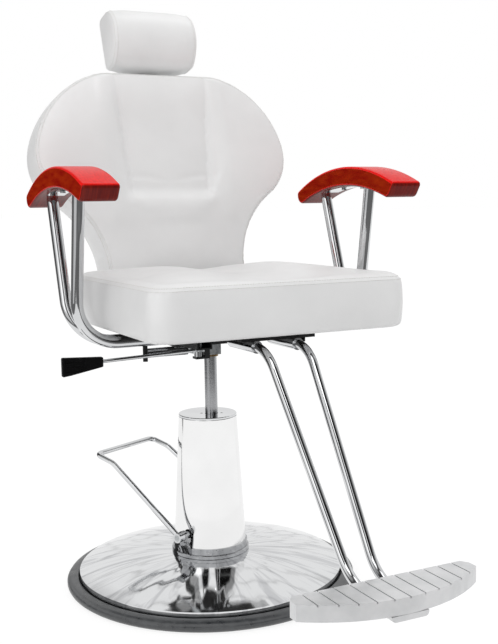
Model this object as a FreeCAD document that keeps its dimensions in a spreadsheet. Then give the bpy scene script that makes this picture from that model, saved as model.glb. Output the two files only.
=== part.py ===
import FreeCAD, Part
import Sketcher
import math
import os

# Hydraulic barber chair, millimetres. +Z is up, the sitter faces -Y, and the origin is on the
# floor under the swivel axis. The pump housing stands a little behind that axis, as its ram does
# not rise from the middle of the housing, and its own frame has X along the pedal's shaft and
# Y towards the pedal. The backrest and headrest are drawn in the leaning frame of the back:
# X across, Y through the thickness to the rear, Z up along the back.

Vec = FreeCAD.Vector
UP = Vec(0, 0, 1)
DOC = FreeCAD.newDocument("barber_chair")
SHEET = DOC.addObject("Spreadsheet::Sheet", "sizes")

SIZES = [
    # fits and clearances
    ("running", 0.05, "radial play of a shaft in its bore"),
    ("loose", 0.3, "play between pieces that pass each other"),
    # floor ring, ballast and dish
    ("ring_rad", 290.0, "outside of the rubber floor ring"),
    ("ring_tall", 22.0, "height of the rubber ring"),
    ("ring_ledge", 3.0, "rubber under the ballast plate"),
    ("ring_wide", 34.0, "floor ring outside the ballast plate"),
    ("plate_thick", 12.0, "ballast plate"),
    ("ring_show", 25.5, "floor ring outside the dish"),
    ("dish_edge_z", 31.0, "top of the dish at its lip"),
    ("dish_top_z", 60.0, "top of the dish at the pump"),
    ("dish_wall", 2.5, "sheet of the dish"),
    ("dish_arc_rad", 620.0, "arc of the dish from pump to lip"),
    # pump housing
    ("pump_off", 10.0, "ram axis to housing axis"),
    ("pump_turn", 28.0, "degrees from +X to the pedal shaft"),
    ("flange_lip", 3.0, "lower step of the flange outside the upper"),
    ("flange_step", 8.0, "height of the lower step"),
    ("band_lip", 2.6, "upper step of the flange outside the shroud"),
    ("spigot_tall", 8.0, "flange spigot inside the shroud"),
    ("block_in", 12.4, "pump casting inside the shroud's foot"),
    ("block_tall", 22.0, "pump casting above the dish"),
    ("foot_in", 15.2, "casting's foot inside the casting"),
    ("foot_z", 20.0, "underside of the casting's foot"),
    ("bolt_in", 9.0, "ring of base bolts inside the casting"),
    ("bolt_rad", 4.0, "base bolt shank"),
    ("bolt_head_rad", 7.5, "base bolt head"),
    ("shroud_foot_rad", 72.4, "shroud at its lower edge"),
    ("shroud_top_rad", 58.3, "shroud at its upper edge"),
    ("flange_tall", 20.0, "flange above the dish"),
    ("shroud_top_z", 334.5, "shroud upper edge"),
    ("shroud_wall", 1.5, "shroud sheet"),
    ("cap_gap", 1.2, "shadow gap between shroud and cap"),
    ("cap_thick", 4.0, "cap rim"),
    ("spanner_out", 20.0, "spanner hole from the ram axis"),
    ("spanner_rad", 2.5, "spanner hole"),
    ("spanner_turn", -26.0, "degrees from +X to the spanner holes"),
    # cylinder and reservoir
    ("piston_lip", 2.6, "cylinder bore outside the ram"),
    ("cyl_wall", 6.0, "cylinder wall"),
    ("cyl_sunk", 16.0, "cylinder foot below the top of the casting"),
    ("gland_deep", 18.0, "cylinder end below the top of the tank"),
    ("tank_in", 6.3, "oil tank inside the shroud's upper edge"),
    ("tank_wall", 2.0, "oil tank sheet"),
    ("tank_up", 20.0, "oil tank floor above the pedal shaft"),
    ("tank_under", 16.5, "oil tank edge below the shroud's upper edge"),
    ("gland_thick", 8.0, "gland head over the tank"),
    # pedal
    ("shaft_up", 28.0, "pedal shaft above the shroud's foot"),
    ("shaft_rad", 6.0, "pedal stub shafts"),
    ("ear_gap", 5.0, "bearing ear outside the flange"),
    ("ear_thick", 7.0, "bearing ear"),
    ("ear_rad", 10.0, "eye of the bearing ear"),
    ("notch_rad", 9.0, "hole in the shroud for the shaft"),
    ("hub_long", 15.0, "pedal hub along the shaft"),
    ("hub_rad", 9.5, "pedal hub"),
    ("bar_rad", 5.5, "pedal bar"),
    ("bar_half", 87.0, "half the width of the pedal loop"),
    ("bend_out", 182.0, "bend of the pedal arms from the shaft"),
    ("bend_z", 230.0, "height of that bend"),
    ("cross_out", 228.0, "cross bar from the shaft"),
    ("cross_z", 242.0, "height of the cross bar"),
    ("yoke_half", 49.0, "half the spacing of the yoke's cheeks"),
    ("yoke_thick", 6.0, "yoke cheek"),
    ("yoke_out", 34.0, "yoke's bar from the shaft"),
    ("yoke_rise", 14.0, "degrees that the yoke points up at rest"),
    ("yoke_bar_rad", 5.0, "yoke's bar"),
    ("plunger_rad", 8.0, "pump plunger"),
    ("plunger_head_rad", 13.0, "head of the plunger"),
    ("plunger_head", 4.0, "thickness of that head"),
    ("plunger_long", 56.0, "plunger rod below its head"),
    # ram
    ("ram_rad", 12.5, "ram"),
    ("ram_foot_z", 190.0, "ram foot at rest"),
    ("ram_under", 14.0, "ram top below the middle plate"),
    ("piston_tall", 14.0, "piston ring on the ram"),
    ("spigot_rad", 8.0, "ram spigot through the piston ring"),
    ("washer_lip", 3.5, "swivel washer outside the ram"),
    ("washer_tall", 4.0, "swivel washer"),
    # hub and seat frame
    ("hub_tall", 31.7, "height of the swivel socket"),
    ("hub_side", 2.5, "socket wall at its sides"),
    ("hub_end", 6.5, "socket wall at front and rear"),
    ("mid_plate_z", 492.0, "underside of the middle plate"),
    ("mid_plate_thick", 6.0, "middle plate"),
    ("mid_plate_half", 95.0, "middle plate fore and aft, half"),
    ("rail_mid", 95.0, "seat rail from the middle"),
    ("rail_wide", 30.0, "seat rail width"),
    ("rail_front", 190.0, "seat rail ahead of the swivel"),
    ("lug_long", 25.0, "hinge lug behind the rail"),
    ("rail_wall", 3.0, "seat rail wall"),
    ("rail_tall", 30.0, "seat rail height"),
    ("board_thick", 12.0, "plywood seat board"),
    # seat cushion
    ("seat_half", 247.0, "half the width of the seat"),
    ("seat_front", 338.0, "seat front ahead of the swivel"),
    ("seat_rear", 114.0, "seat rear behind the swivel"),
    ("seat_tall", 94.0, "seat's upper seam above its underside"),
    ("seat_crown", 12.0, "seat's crown above the seam"),
    ("seat_corner", 42.0, "corner of the seat in plan"),
    # armrests
    ("arm_gap", 49.0, "middle of the armrest pads outside the seat"),
    ("pad_wide", 64.0, "width of an armrest pad"),
    ("pad_front", 242.0, "front of the pads ahead of the swivel"),
    ("pad_rear", 109.0, "rear of the pads behind the swivel"),
    ("pad_front_up", 259.0, "upper front edge of the pads above the seat board"),
    ("pad_rear_up", 245.0, "upper rear edge of the pads above the seat board"),
    ("pad_crown", 42.0, "rise of the pad's upper arc"),
    ("pad_hollow", 29.5, "rise of the pad's lower arc"),
    ("pad_front_thick", 24.0, "pad thickness at its front"),
    ("pad_rear_thick", 16.0, "pad thickness at its rear"),
    ("pad_round", 7.0, "rounding of the pad"),
    ("strap_thick", 4.0, "strap under the pad"),
    ("strap_wide", 34.0, "strap under the pad"),
    ("screw_rad", 2.5, "pad screw"),
    ("screw_long", 14.0, "pad screw above the strap's underside"),
    ("screw_front", 100.0, "front pad screw ahead of the swivel"),
    ("screw_rear", 30.0, "rear pad screw ahead of the swivel"),
    ("arm_tube_rad", 11.0, "arm tube"),
    ("arm_tube_wall", 1.5, "arm tube"),
    ("arm_under", 20.0, "arm tubes under the seat board"),
    ("arm_bend_rad", 80.0, "bend of the arm tubes"),
    ("arm_front_top", 124.0, "top of the front arm tube, forward"),
    ("arm_front_foot", 78.0, "foot of the front arm tube, forward"),
    ("arm_rear_top", 47.0, "top of the rear arm tube, rearward"),
    ("arm_rear_foot", 46.0, "foot of the rear arm tube, forward"),
    ("arm_up", 252.0, "height over the board at which the tubes' tops are given"),
    # footrest
    ("foot_tube_rad", 8.0, "footrest tube"),
    ("foot_tube_wall", 1.5, "footrest tube"),
    ("foot_gap_top", 80.0, "footrest tubes apart under the seat"),
    ("foot_gap_end", 47.0, "footrest tubes apart at the plate"),
    ("foot_under", 18.0, "footrest tubes under the seat board"),
    ("tube_cover", 1.0, "footrest tubes under the tread's web"),
    ("foot_corner_top", 325.0, "upper corner of the tubes, forward"),
    ("foot_corner_back", 38.0, "lower corner of the tubes behind the footplate"),
    ("foot_bend_top", 75.0, "upper bend of the tubes"),
    ("foot_bend_end", 85.0, "lower bend of the tubes"),
    ("foot_tube_back", 18.0, "end of the tubes behind the footplate's front"),
    ("socket_wall", 3.0, "footrest socket wall"),
    ("socket_front", 288.0, "front of the sockets, forward"),
    ("socket_rear", 190.0, "rear of the sockets, forward"),
    ("tread_half", 158.0, "half the width of the footplate"),
    ("tread_rear", 600.0, "rear edge of the footplate, forward"),
    ("tread_side", 30.0, "length of the footplate's ends"),
    ("tread_bow", 52.0, "bow of the footplate's front"),
    ("tread_top_z", 197.0, "top of the footplate"),
    ("tread_web", 11.0, "thickness of the footplate's top"),
    ("tread_skirt", 25.0, "height of the footplate's skirt"),
    ("tread_wall", 5.0, "thickness of the skirt"),
    ("groove_pitch", 26.5, "spacing of the footplate's grooves"),
    ("groove_wide", 2.2, "groove width"),
    ("groove_deep", 2.5, "groove depth"),
    ("clamp_half", 32.0, "half the width of the footplate clamp"),
    ("clamp_tall", 23.0, "height of the footplate clamp"),
    # recline lock and lever
    ("lock_side", 40.0, "recline lock to the sitter's right of the middle"),
    ("lock_gap", 2.0, "recline lock under the middle plate"),
    ("lock_rad", 13.0, "recline lock cylinder"),
    ("lock_front", 60.0, "front of the lock, forward"),
    ("lock_rear", 80.0, "rear of the lock"),
    ("lock_rod_rad", 6.0, "rod of the lock"),
    ("lever_side", 62.0, "lever pivot from the middle"),
    ("spring_tube_rad", 9.0, "tube of the lever's spring"),
    ("spring_tube_outer", 160.0, "outer end of that tube from the middle"),
    ("spring_tube_inner", 76.0, "inner end of that tube from the middle"),
    ("lever_front", 84.0, "lever pivot, forward"),
    ("lever_under", 10.0, "lever under the middle plate at its pivot"),
    ("lever_pin_rad", 3.0, "lever pivot pin"),
    ("lever_rod_rad", 3.5, "lever rod"),
    ("lever_clear", 3.0, "outer end of the lever rod outside the seat"),
    ("lever_drop", 6.0, "fall of the lever rod to its outer end"),
    ("paddle_long", 76.0, "lever paddle"),
    ("paddle_thick", 11.0, "lever paddle"),
    ("paddle_root", 18.0, "paddle height at the rod"),
    ("paddle_tip", 35.0, "paddle height at its tip"),
    ("stud_side", 165.0, "stop stud from the middle"),
    ("stud_rad", 4.5, "stop stud"),
    ("stud_long", 29.0, "stop stud"),
    # backrest
    ("lean", 12.4, "degrees that the back leans at rest"),
    ("back_set", 56.0, "back's middle plane behind the seat"),
    ("back_up", 96.0, "height over the seat board at which that is taken"),
    ("waist_half", 156.0, "half the width of the back at the seat"),
    ("wing_half", 285.0, "half the greatest width of the back"),
    ("wing_up", 240.0, "height of that along the back"),
    ("wing_rad", 108.0, "arc round the wing"),
    ("waist_up", -6.0, "upper end of the straight waist"),
    ("back_foot", -52.0, "lower end of the back"),
    ("back_top", 418.0, "upper end of the back"),
    ("top_slope", 12.0, "degrees at which the wing's arc meets the upper one"),
    ("back_top_half", 122.0, "half the flat part of the upper edge"),
    ("back_front", 22.0, "front seam ahead of the middle plane"),
    ("back_rear", 74.0, "rear face behind the middle plane"),
    ("back_crown", 12.0, "crown of the back ahead of its seam"),
    ("panel_half", 100.0, "creases of the middle panel from the middle"),
    ("panel_sink", 30.0, "creases behind the crown of the wings"),
    ("panel_swell", 9.0, "swell of the middle panel out of its creases"),
    ("panel_low", 176.0, "lower end of the sunk panel along the back"),
    ("panel_rim", 26.0, "upper end of the sunk panel below the back's top"),
    ("lumbar_up", 152.0, "lumbar roll along the back"),
    ("lumbar_rad", 24.0, "lumbar roll"),
    ("lumbar_proud", 4.0, "lumbar roll ahead of the wings"),
    ("board_back_thick", 12.0, "plywood in the back"),
    ("cover_thick", 4.0, "rear cover of the back"),
    # hinge
    ("hinge_back", 51.0, "recline hinge behind that plane"),
    ("hinge_rad", 7.0, "recline hinge pin"),
    ("hinge_tube_rad", 12.0, "tube of the back frame on the pin"),
    ("back_arm_mid", 65.0, "back frame arm from the middle"),
    ("back_arm_wide", 24.0, "back frame arm"),
    ("back_arm_thick", 8.0, "back frame arm"),
    ("back_arm_top", 175.0, "upper end of the arms along the back"),
    ("crank_long", 38.0, "crank of the back frame"),
    ("crank_turn", 20.0, "degrees that the crank trails at rest"),
    ("crank_pin_rad", 4.0, "crank pin"),
    # headrest
    ("head_half", 98.0, "half the width of the headrest"),
    ("head_gap", 16.0, "underside of the headrest above the back"),
    ("head_tall", 132.0, "height of the headrest"),
    ("head_rear_top", 72.0, "upper rear edge of the headrest, to the rear"),
    ("head_rear_foot", 54.0, "lower rear edge of the headrest, to the rear"),
    ("head_chord", 2.0, "ends of the headrest's front arc, to the rear"),
    ("head_belly", 41.0, "rise of the headrest's front arc"),
    ("core_thick", 34.0, "core of the headrest"),
    ("bar_wide", 38.0, "headrest bar"),
    ("bar_thick", 8.0, "headrest bar"),
    ("bar_rest", 20.0, "headrest bar above the foot of its guide"),
    ("guide_long", 148.0, "headrest guide below the back's top"),
    ("guide_wall", 4.0, "wall of the guide"),
]


class Size:
    """A number from the sheet that remembers the expression it came from."""

    def __init__(self, number, text):
        self.number = float(number)
        self.text = text

    def __float__(self):
        return self.number

    def __add__(self, other):
        return Size(self.number + float(other), "(%s + %s)" % (self.text, worded(other)))

    def __sub__(self, other):
        return Size(self.number - float(other), "(%s - %s)" % (self.text, worded(other)))

    def __rsub__(self, other):
        return Size(float(other) - self.number, "(%s - %s)" % (worded(other), self.text))

    def __mul__(self, other):
        return Size(self.number * float(other), "(%s * %s)" % (self.text, worded(other)))

    def __truediv__(self, other):
        return Size(self.number / float(other), "(%s / %s)" % (self.text, worded(other)))

    def __neg__(self):
        return Size(-self.number, "(-%s)" % self.text)

    __radd__ = __add__
    __rmul__ = __mul__


def worded(value):
    """The expression of a size, or the plain number."""
    return value.text if isinstance(value, Size) else repr(float(value))


class Sheet:
    """The driving sizes, read by name from the spreadsheet."""

    def __init__(self, sheet, rows):
        for row, (alias, number, meaning) in enumerate(rows, 1):
            sheet.set("A%d" % row, meaning)
            sheet.set("B%d" % row, str(number))
            sheet.setAlias("B%d" % row, alias)
        sheet.recompute()
        for alias, number, meaning in rows:
            setattr(self, alias, Size(sheet.get(alias), "sizes." + alias))


S = Sheet(SHEET, SIZES)
NODES = []

# Radii and places that follow from the sizes above
S.plate_rad = S.ring_rad - S.ring_wide
S.dish_rad = S.ring_rad - S.ring_show
S.band_rad = S.shroud_foot_rad + S.band_lip
S.flange_rad = S.band_rad + S.flange_lip
S.ear_in = S.flange_rad + S.ear_gap
S.block_rad = S.shroud_foot_rad - S.block_in
S.foot_rad = S.block_rad - S.foot_in
S.bolt_ring = S.block_rad - S.bolt_in
S.bore_rad = S.ram_rad + S.piston_lip
S.washer_rad = S.ram_rad + S.washer_lip
S.tank_rad = S.shroud_top_rad - S.tank_in
S.socket_rad = S.foot_tube_rad + S.socket_wall

S.block_top_z = S.dish_top_z + S.block_tall
S.shroud_foot_z = S.dish_top_z + S.flange_tall
S.cyl_foot_z = S.block_top_z - S.cyl_sunk
S.shaft_z = S.shroud_foot_z + S.shaft_up
S.tank_floor_z = S.shaft_z + S.tank_up
S.tank_top_z = S.shroud_top_z - S.tank_under
S.cyl_top_z = S.tank_top_z - S.gland_deep

S.ram_top_z = S.mid_plate_z - S.ram_under
S.hub_foot_z = S.mid_plate_z - S.hub_tall
S.hub_wide = (S.ram_rad + S.hub_side) * 2
S.hub_deep = (S.ram_rad + S.hub_end) * 2
S.rail_foot_z = S.mid_plate_z + S.mid_plate_thick
S.board_foot_z = S.rail_foot_z + S.rail_tall
S.seat_seam_z = S.board_foot_z + S.seat_tall
S.seat_crown_z = S.seat_seam_z + S.seat_crown
S.arm_mid = S.seat_half + S.arm_gap
S.pad_front_z = S.board_foot_z + S.pad_front_up
S.pad_rear_z = S.board_foot_z + S.pad_rear_up
S.arm_run_z = S.board_foot_z - S.arm_under
S.arm_top_z = S.board_foot_z + S.arm_up
S.lock_z = S.mid_plate_z - S.lock_rad - S.lock_gap
S.lever_z = S.mid_plate_z - S.lever_under
S.lever_end = S.seat_half + S.lever_clear

S.foot_top_z = S.board_foot_z - S.foot_under
S.tread_foot_z = S.tread_top_z - S.tread_web
S.foot_end_z = S.tread_foot_z - S.foot_tube_rad - S.tube_cover
S.clamp_foot_z = S.tread_foot_z - S.clamp_tall
S.tread_tip = S.tread_rear + S.tread_side
S.tread_front = S.tread_tip + S.tread_bow
S.foot_corner_end = S.tread_rear - S.foot_corner_back
S.foot_tube_end = S.tread_front - S.foot_tube_back

S.back_y = S.seat_rear + S.back_set
S.back_z = S.board_foot_z + S.back_up
S.hinge_y = S.back_y + S.hinge_back
S.hinge_z = S.rail_foot_z + S.rail_tall / 2
S.rail_rear = S.hinge_y - S.lug_long
S.panel_high = S.back_top - S.panel_rim
S.head_foot = S.back_top + S.head_gap
S.guide_foot = S.back_top - S.guide_long
S.bar_foot = S.guide_foot + S.bar_rest


def num(value):
    return float(value)


def bind(thing, prop, value):
    """Set a property, and tie it to the sheet where the value came from there."""
    if prop.startswith("Placement.Base."):
        place = thing.Placement
        setattr(place.Base, prop[-1], num(value))
        thing.Placement = place
    else:
        setattr(thing, prop, num(value))
    if isinstance(value, Size):
        thing.setExpression(prop, value.text)


def node(thing, name):
    """Give a finished sub-part its name and list it for writing."""
    thing.Label = name
    NODES.append(thing)
    return thing


def pump_frame():
    """Place of the pump housing: X along the pedal shaft, Y towards the pedal."""
    turn = math.radians(num(S.pump_turn))
    off = num(S.pump_off)
    spot = Vec(-off * math.sin(turn), off * math.cos(turn), 0)
    return FreeCAD.Placement(spot, FreeCAD.Rotation(UP, num(S.pump_turn)))


def back_frame():
    """Place of the back: Z up along it, Y through it to the rear."""
    spot = Vec(0, num(S.back_y), num(S.back_z))
    return FreeCAD.Placement(spot, FreeCAD.Rotation(Vec(1, 0, 0), -num(S.lean)))


def origin_plane(body, role):
    return [plane for plane in body.Origin.OriginFeatures if plane.Role == role][0]


def outline(body, role, corners, arcs=None, shift=0.0):
    """A closed sketch through the corners; arcs maps an edge's number to its radius.

    A positive radius bulges to the right of the direction of travel, a negative one to the left.
    """
    arcs = arcs or {}
    sketch = body.newObject("Sketcher::SketchObject", body.Name + "_sketch")
    sketch.AttachmentSupport = [(origin_plane(body, role), "")]
    sketch.MapMode = "FlatFace"
    if num(shift):
        sketch.AttachmentOffset = FreeCAD.Placement(Vec(0, 0, num(shift)), FreeCAD.Rotation())
        if isinstance(shift, Size):
            sketch.setExpression("AttachmentOffset.Base.z", shift.text)
    spots = [Vec(num(x), num(y), 0) for x, y in corners]
    starts = []
    for index, start in enumerate(spots):
        end = spots[(index + 1) % len(spots)]
        if index in arcs:
            radius = num(arcs[index])
            chord = end - start
            half = chord.Length / 2
            rise = abs(radius) - math.sqrt(radius * radius - half * half)
            side = Vec(chord.y, -chord.x, 0) * (math.copysign(rise, radius) / chord.Length)
            edge = Part.Arc(start, (start + end) * 0.5 + side, end)
        else:
            edge = Part.LineSegment(start, end)
        geo = sketch.addGeometry(edge, False)
        near = (sketch.getPoint(geo, 1) - start).Length < (sketch.getPoint(geo, 2) - start).Length
        starts.append((geo, 1 if near else 2, 2 if near else 1))
    for index, (geo, first, last) in enumerate(starts):
        after, after_first, _ = starts[(index + 1) % len(starts)]
        sketch.addConstraint(Sketcher.Constraint("Coincident", geo, last, after, after_first))
        for kind, value in zip(("DistanceX", "DistanceY"), corners[index]):
            tie(sketch, Sketcher.Constraint(kind, -1, 1, geo, first, num(value)), value)
        if index in arcs:
            size = abs(num(arcs[index]))
            tie(sketch, Sketcher.Constraint("Radius", geo, size), arcs[index])
    return sketch


def tie(sketch, constraint, value):
    index = sketch.addConstraint(constraint)
    if isinstance(value, Size):
        text = value.text if num(value) >= 0 or constraint.Type != "Radius" else (-value).text
        sketch.setExpression("Constraints[%d]" % index, text)


def turned(name, corners, arcs=None, place=None):
    """A piece turned about its Z axis; corners are (radius, height)."""
    body = DOC.addObject("PartDesign::Body", name)
    sketch = outline(body, "XZ_Plane", corners, arcs)
    spin = body.newObject("PartDesign::Revolution", name + "_turn")
    spin.Profile = sketch
    spin.ReferenceAxis = (sketch, ["V_Axis"])
    spin.Angle = 360
    sketch.Visibility = False
    if place:
        body.Placement = place
    DOC.recompute()
    return body


def plate(name, role, corners, thick, arcs=None, shift=0.0):
    """A flat piece: an outline on a base plane, padded to its thickness."""
    body = DOC.addObject("PartDesign::Body", name)
    sketch = outline(body, role, corners, arcs, shift)
    pad = body.newObject("PartDesign::Pad", name + "_pad")
    pad.Profile = sketch
    bind(pad, "Length", thick)
    sketch.Visibility = False
    DOC.recompute()
    return body


def drum(name, radius, foot, top, spot=(0, 0)):
    """An upright cylinder between two heights."""
    piece = DOC.addObject("Part::Cylinder", name)
    bind(piece, "Radius", radius)
    bind(piece, "Height", top - foot)
    bind(piece, "Placement.Base.z", foot)
    bind(piece, "Placement.Base.x", spot[0])
    bind(piece, "Placement.Base.y", spot[1])
    return piece


def block(name, low, high):
    """A box between two corners."""
    piece = DOC.addObject("Part::Box", name)
    for prop, axis, start, end in zip(("Length", "Width", "Height"), "xyz", low, high):
        bind(piece, prop, end - start)
        bind(piece, "Placement.Base." + axis, start)
    return piece


def lying(name, radius, start, end, along):
    """A cylinder along X or Y between two points."""
    piece = DOC.addObject("Part::Cylinder", name)
    bind(piece, "Radius", radius)
    axis = "xyz".index(along)
    bind(piece, "Height", end[axis] - start[axis])
    turn = FreeCAD.Rotation(UP, Vec(1, 0, 0) if along == "x" else Vec(0, 1, 0))
    piece.Placement = FreeCAD.Placement(Vec(*[num(value) for value in start]), turn)
    for letter, value in zip("xyz", start):
        if isinstance(value, Size):
            piece.setExpression("Placement.Base." + letter, value.text)
    return piece


def fused(name, pieces):
    whole = DOC.addObject("Part::MultiFuse", name)
    whole.Shapes = pieces
    whole.Refine = True
    return whole


def cut(name, base, tools):
    """A piece less its tools."""
    tool = tools[0] if len(tools) == 1 else fused(name + "_tools", tools)
    whole = DOC.addObject("Part::Cut", name)
    whole.Base = base
    whole.Tool = tool
    whole.Refine = True
    return whole


def shaped(name, shape, place=None):
    """A sub-part whose shape is worked out here from the sheet."""
    piece = DOC.addObject("Part::Feature", name)
    piece.Shape = shape
    if place:
        piece.Placement = place
    return node(piece, name)


def bent_path(points, radii):
    """A wire of straight runs joined by tangent arcs; radii has one value per inner point."""
    edges = []
    start = points[0]
    for before, corner, after, radius in zip(points, points[1:], points[2:], radii):
        back = (before - corner).normalize()
        ahead = (after - corner).normalize()
        half = back.getAngle(ahead) / 2
        reach = radius / math.tan(half)
        leave = corner + back * reach
        rejoin = corner + ahead * reach
        centre = corner + (back + ahead).normalize() * (radius / math.sin(half))
        middle = centre + (corner - centre).normalize() * radius
        edges.append(Part.LineSegment(start, leave).toShape())
        edges.append(Part.Arc(leave, middle, rejoin).toShape())
        start = rejoin
    edges.append(Part.LineSegment(start, points[-1]).toShape())
    return Part.Wire(edges)


def swept(path, radius):
    """A round bar along a path."""
    first = path.Edges[0]
    start = first.valueAt(first.FirstParameter)
    ahead = first.tangentAt(first.FirstParameter)
    maker = Part.BRepOffsetAPI.MakePipeShell(path)
    maker.add(Part.Wire(Part.makeCircle(radius, start, ahead)))
    maker.build()
    maker.makeSolid()
    return maker.shape()


def tube(path, radius, wall):
    """A hollow tube along a path."""
    return swept(path, radius).cut(swept(path, radius - wall))


def rounded_box_wire(half_x, low_y, high_y, corner, z):
    """A rectangle with round corners, as lines and quarter arcs at one height."""
    low_x = -half_x
    turn = corner * (1 - math.sqrt(0.5))
    runs = [
        ((low_x + corner, low_y), (half_x - corner, low_y), (half_x - turn, low_y + turn)),
        ((half_x, low_y + corner), (half_x, high_y - corner), (half_x - turn, high_y - turn)),
        ((half_x - corner, high_y), (low_x + corner, high_y), (low_x + turn, high_y - turn)),
        ((low_x, high_y - corner), (low_x, low_y + corner), (low_x + turn, low_y + turn)),
    ]
    edges = []
    for index, (start, end, middle) in enumerate(runs):
        after = runs[(index + 1) % 4][0]
        edges.append(Part.LineSegment(Vec(*start, z), Vec(*end, z)).toShape())
        edges.append(Part.Arc(Vec(*end, z), Vec(*middle, z), Vec(*after, z)).toShape())
    return Part.Wire(edges)


# The base: floor ring, ballast, dish and the fixed half of the pump

def rubber_ring():
    """Rubber ring under the dish's lip, with a ledge inside that the ballast plate sits on."""
    lip = 8.0
    corners = [
        (S.plate_rad - 6, 0), (S.ring_rad - 2, 0), (S.ring_rad, 2),
        (S.ring_rad, S.ring_tall - lip), (S.ring_rad - lip, S.ring_tall),
        (S.plate_rad + S.loose, S.ring_tall), (S.plate_rad + S.loose, S.ring_ledge),
        (S.plate_rad - 6, S.ring_ledge),
    ]
    node(turned("rubber_ring", corners, {3: lip}, pump_frame()), "rubber_ring")


def ballast_plate():
    """Steel disc, turned with the counterbores of the base bolts cut by a pattern."""
    top = S.ring_ledge + S.plate_thick
    head_top = S.ring_ledge + 6
    body = turned("ballast_plate", [
        (0, S.ring_ledge), (S.plate_rad, S.ring_ledge), (S.plate_rad, top), (0, top),
    ], None, pump_frame())
    bolt_hole(body, "shank_hole", S.bolt_rad + S.loose, S.ring_ledge, S.plate_thick + 1)
    bolt_hole(body, "head_hole", S.bolt_head_rad + S.loose, S.ring_ledge, head_top - S.ring_ledge)
    node(body, "ballast_plate")


def bolt_hole(body, name, radius, foot, depth):
    """Four round pockets upwards from one height, on the ring of base bolts."""
    sketch = body.newObject("Sketcher::SketchObject", body.Name + "_" + name)
    sketch.AttachmentSupport = [(origin_plane(body, "XY_Plane"), "")]
    sketch.MapMode = "FlatFace"
    bind_offset(sketch, foot)
    reach = S.bolt_ring * math.sqrt(0.5)
    sketch.addGeometry(Part.Circle(Vec(num(reach), num(reach), 0), UP, num(radius)), False)
    tie(sketch, Sketcher.Constraint("DistanceX", -1, 1, 0, 3, num(reach)), reach)
    tie(sketch, Sketcher.Constraint("DistanceY", -1, 1, 0, 3, num(reach)), reach)
    tie(sketch, Sketcher.Constraint("Radius", 0, num(radius)), radius)
    before = body.Shape.Volume
    pocket = body.newObject("PartDesign::Pocket", name)
    pocket.Profile = sketch
    bind(pocket, "Length", depth)
    pocket.Reversed = True
    pattern = body.newObject("PartDesign::PolarPattern", name + "_ring")
    pattern.Originals = [pocket]
    pattern.Axis = (sketch, ["N_Axis"])
    pattern.Angle = 360
    pattern.Occurrences = 4
    body.Tip = pattern
    sketch.Visibility = False
    DOC.recompute()
    if body.Shape.Volume >= before:
        raise ValueError(name + " cut nothing")


def bind_offset(sketch, height):
    sketch.AttachmentOffset = FreeCAD.Placement(Vec(0, 0, num(height)), FreeCAD.Rotation())
    if isinstance(height, Size):
        sketch.setExpression("AttachmentOffset.Base.z", height.text)


def base_dish():
    """Pressed dish: flat at the pump, one long arc down to the lip, and an upright lip."""
    flat = S.flange_rad + 2
    inner = S.dish_rad - S.dish_wall
    hole = S.foot_rad + 0.6
    corners = [
        (hole, S.dish_top_z), (hole, S.dish_top_z - S.dish_wall),
        (flat, S.dish_top_z - S.dish_wall), (inner, S.dish_edge_z - S.dish_wall),
        (inner, S.ring_tall), (S.dish_rad, S.ring_tall), (S.dish_rad, S.dish_edge_z),
        (flat, S.dish_top_z),
    ]
    arcs = {2: S.dish_arc_rad * -1, 6: S.dish_arc_rad}
    body = turned("base_dish", corners, arcs, pump_frame())
    bolt_hole(body, "dish_hole", S.bolt_rad + S.loose, S.dish_top_z - S.dish_wall, S.dish_wall + 1)
    node(body, "base_dish")


def centre_spacer():
    """Steel ring between ballast and dish, round the foot of the pump casting."""
    top = S.dish_top_z - S.dish_wall
    foot = S.ring_ledge + S.plate_thick
    body = turned("centre_spacer", [
        (S.foot_rad + 0.4, foot), (S.block_rad, foot), (S.block_rad, top),
        (S.foot_rad + 0.4, top),
    ], None, pump_frame())
    bolt_hole(body, "spacer_hole", S.bolt_rad + S.loose, foot, top - foot + 1)
    node(body, "centre_spacer")


def pump_block():
    """Casting that stands on the dish, bored for the cylinder, the plunger and the bolts."""
    upper = drum("block_body", S.block_rad, S.dish_top_z, S.block_top_z)
    foot = drum("block_foot", S.foot_rad, S.foot_z, S.dish_top_z + 1)
    seat = drum("block_seat", S.bore_rad + S.cyl_wall + S.running, S.cyl_foot_z,
                S.block_top_z + 1, (0, -S.pump_off))
    bore = drum("block_bore", S.plunger_rad + S.running, S.foot_z + 10, S.block_top_z + 1,
                (0, plunger_out()))
    reach = S.bolt_ring * math.sqrt(0.5)
    taps = [
        drum("block_tap_%d" % turn, S.bolt_rad + S.running, S.dish_top_z - 1,
             S.dish_top_z + 16, (reach * side, reach * end))
        for turn, (side, end) in enumerate(((1, 1), (-1, 1), (-1, -1), (1, -1)))
    ]
    piece = cut("pump_block", fused("block_solid", [upper, foot]), [seat, bore] + taps)
    piece.Placement = pump_frame()
    node(piece, "pump_block")


def plunger_out():
    """Distance of the plunger from the shaft: the yoke's bar at rest."""
    return S.yoke_out * math.cos(math.radians(num(S.yoke_rise)))


def base_bolts():
    """Four socket-head bolts from under the ballast plate into the pump casting."""
    head_foot = S.ring_ledge + 0.5
    head_top = S.ring_ledge + 6
    reach = S.bolt_ring * math.sqrt(0.5)
    bolts = []
    for turn, (side, end) in enumerate(((1, 1), (-1, 1), (-1, -1), (1, -1))):
        spot = (reach * side, reach * end)
        bolts.append(drum("bolt_head_%d" % turn, S.bolt_head_rad, head_foot, head_top, spot))
        bolts.append(drum("bolt_shank_%d" % turn, S.bolt_rad, head_top - 1,
                          S.dish_top_z + 15, spot))
    piece = fused("base_bolts", bolts)
    piece.Placement = pump_frame()
    node(piece, "base_bolts")


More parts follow.
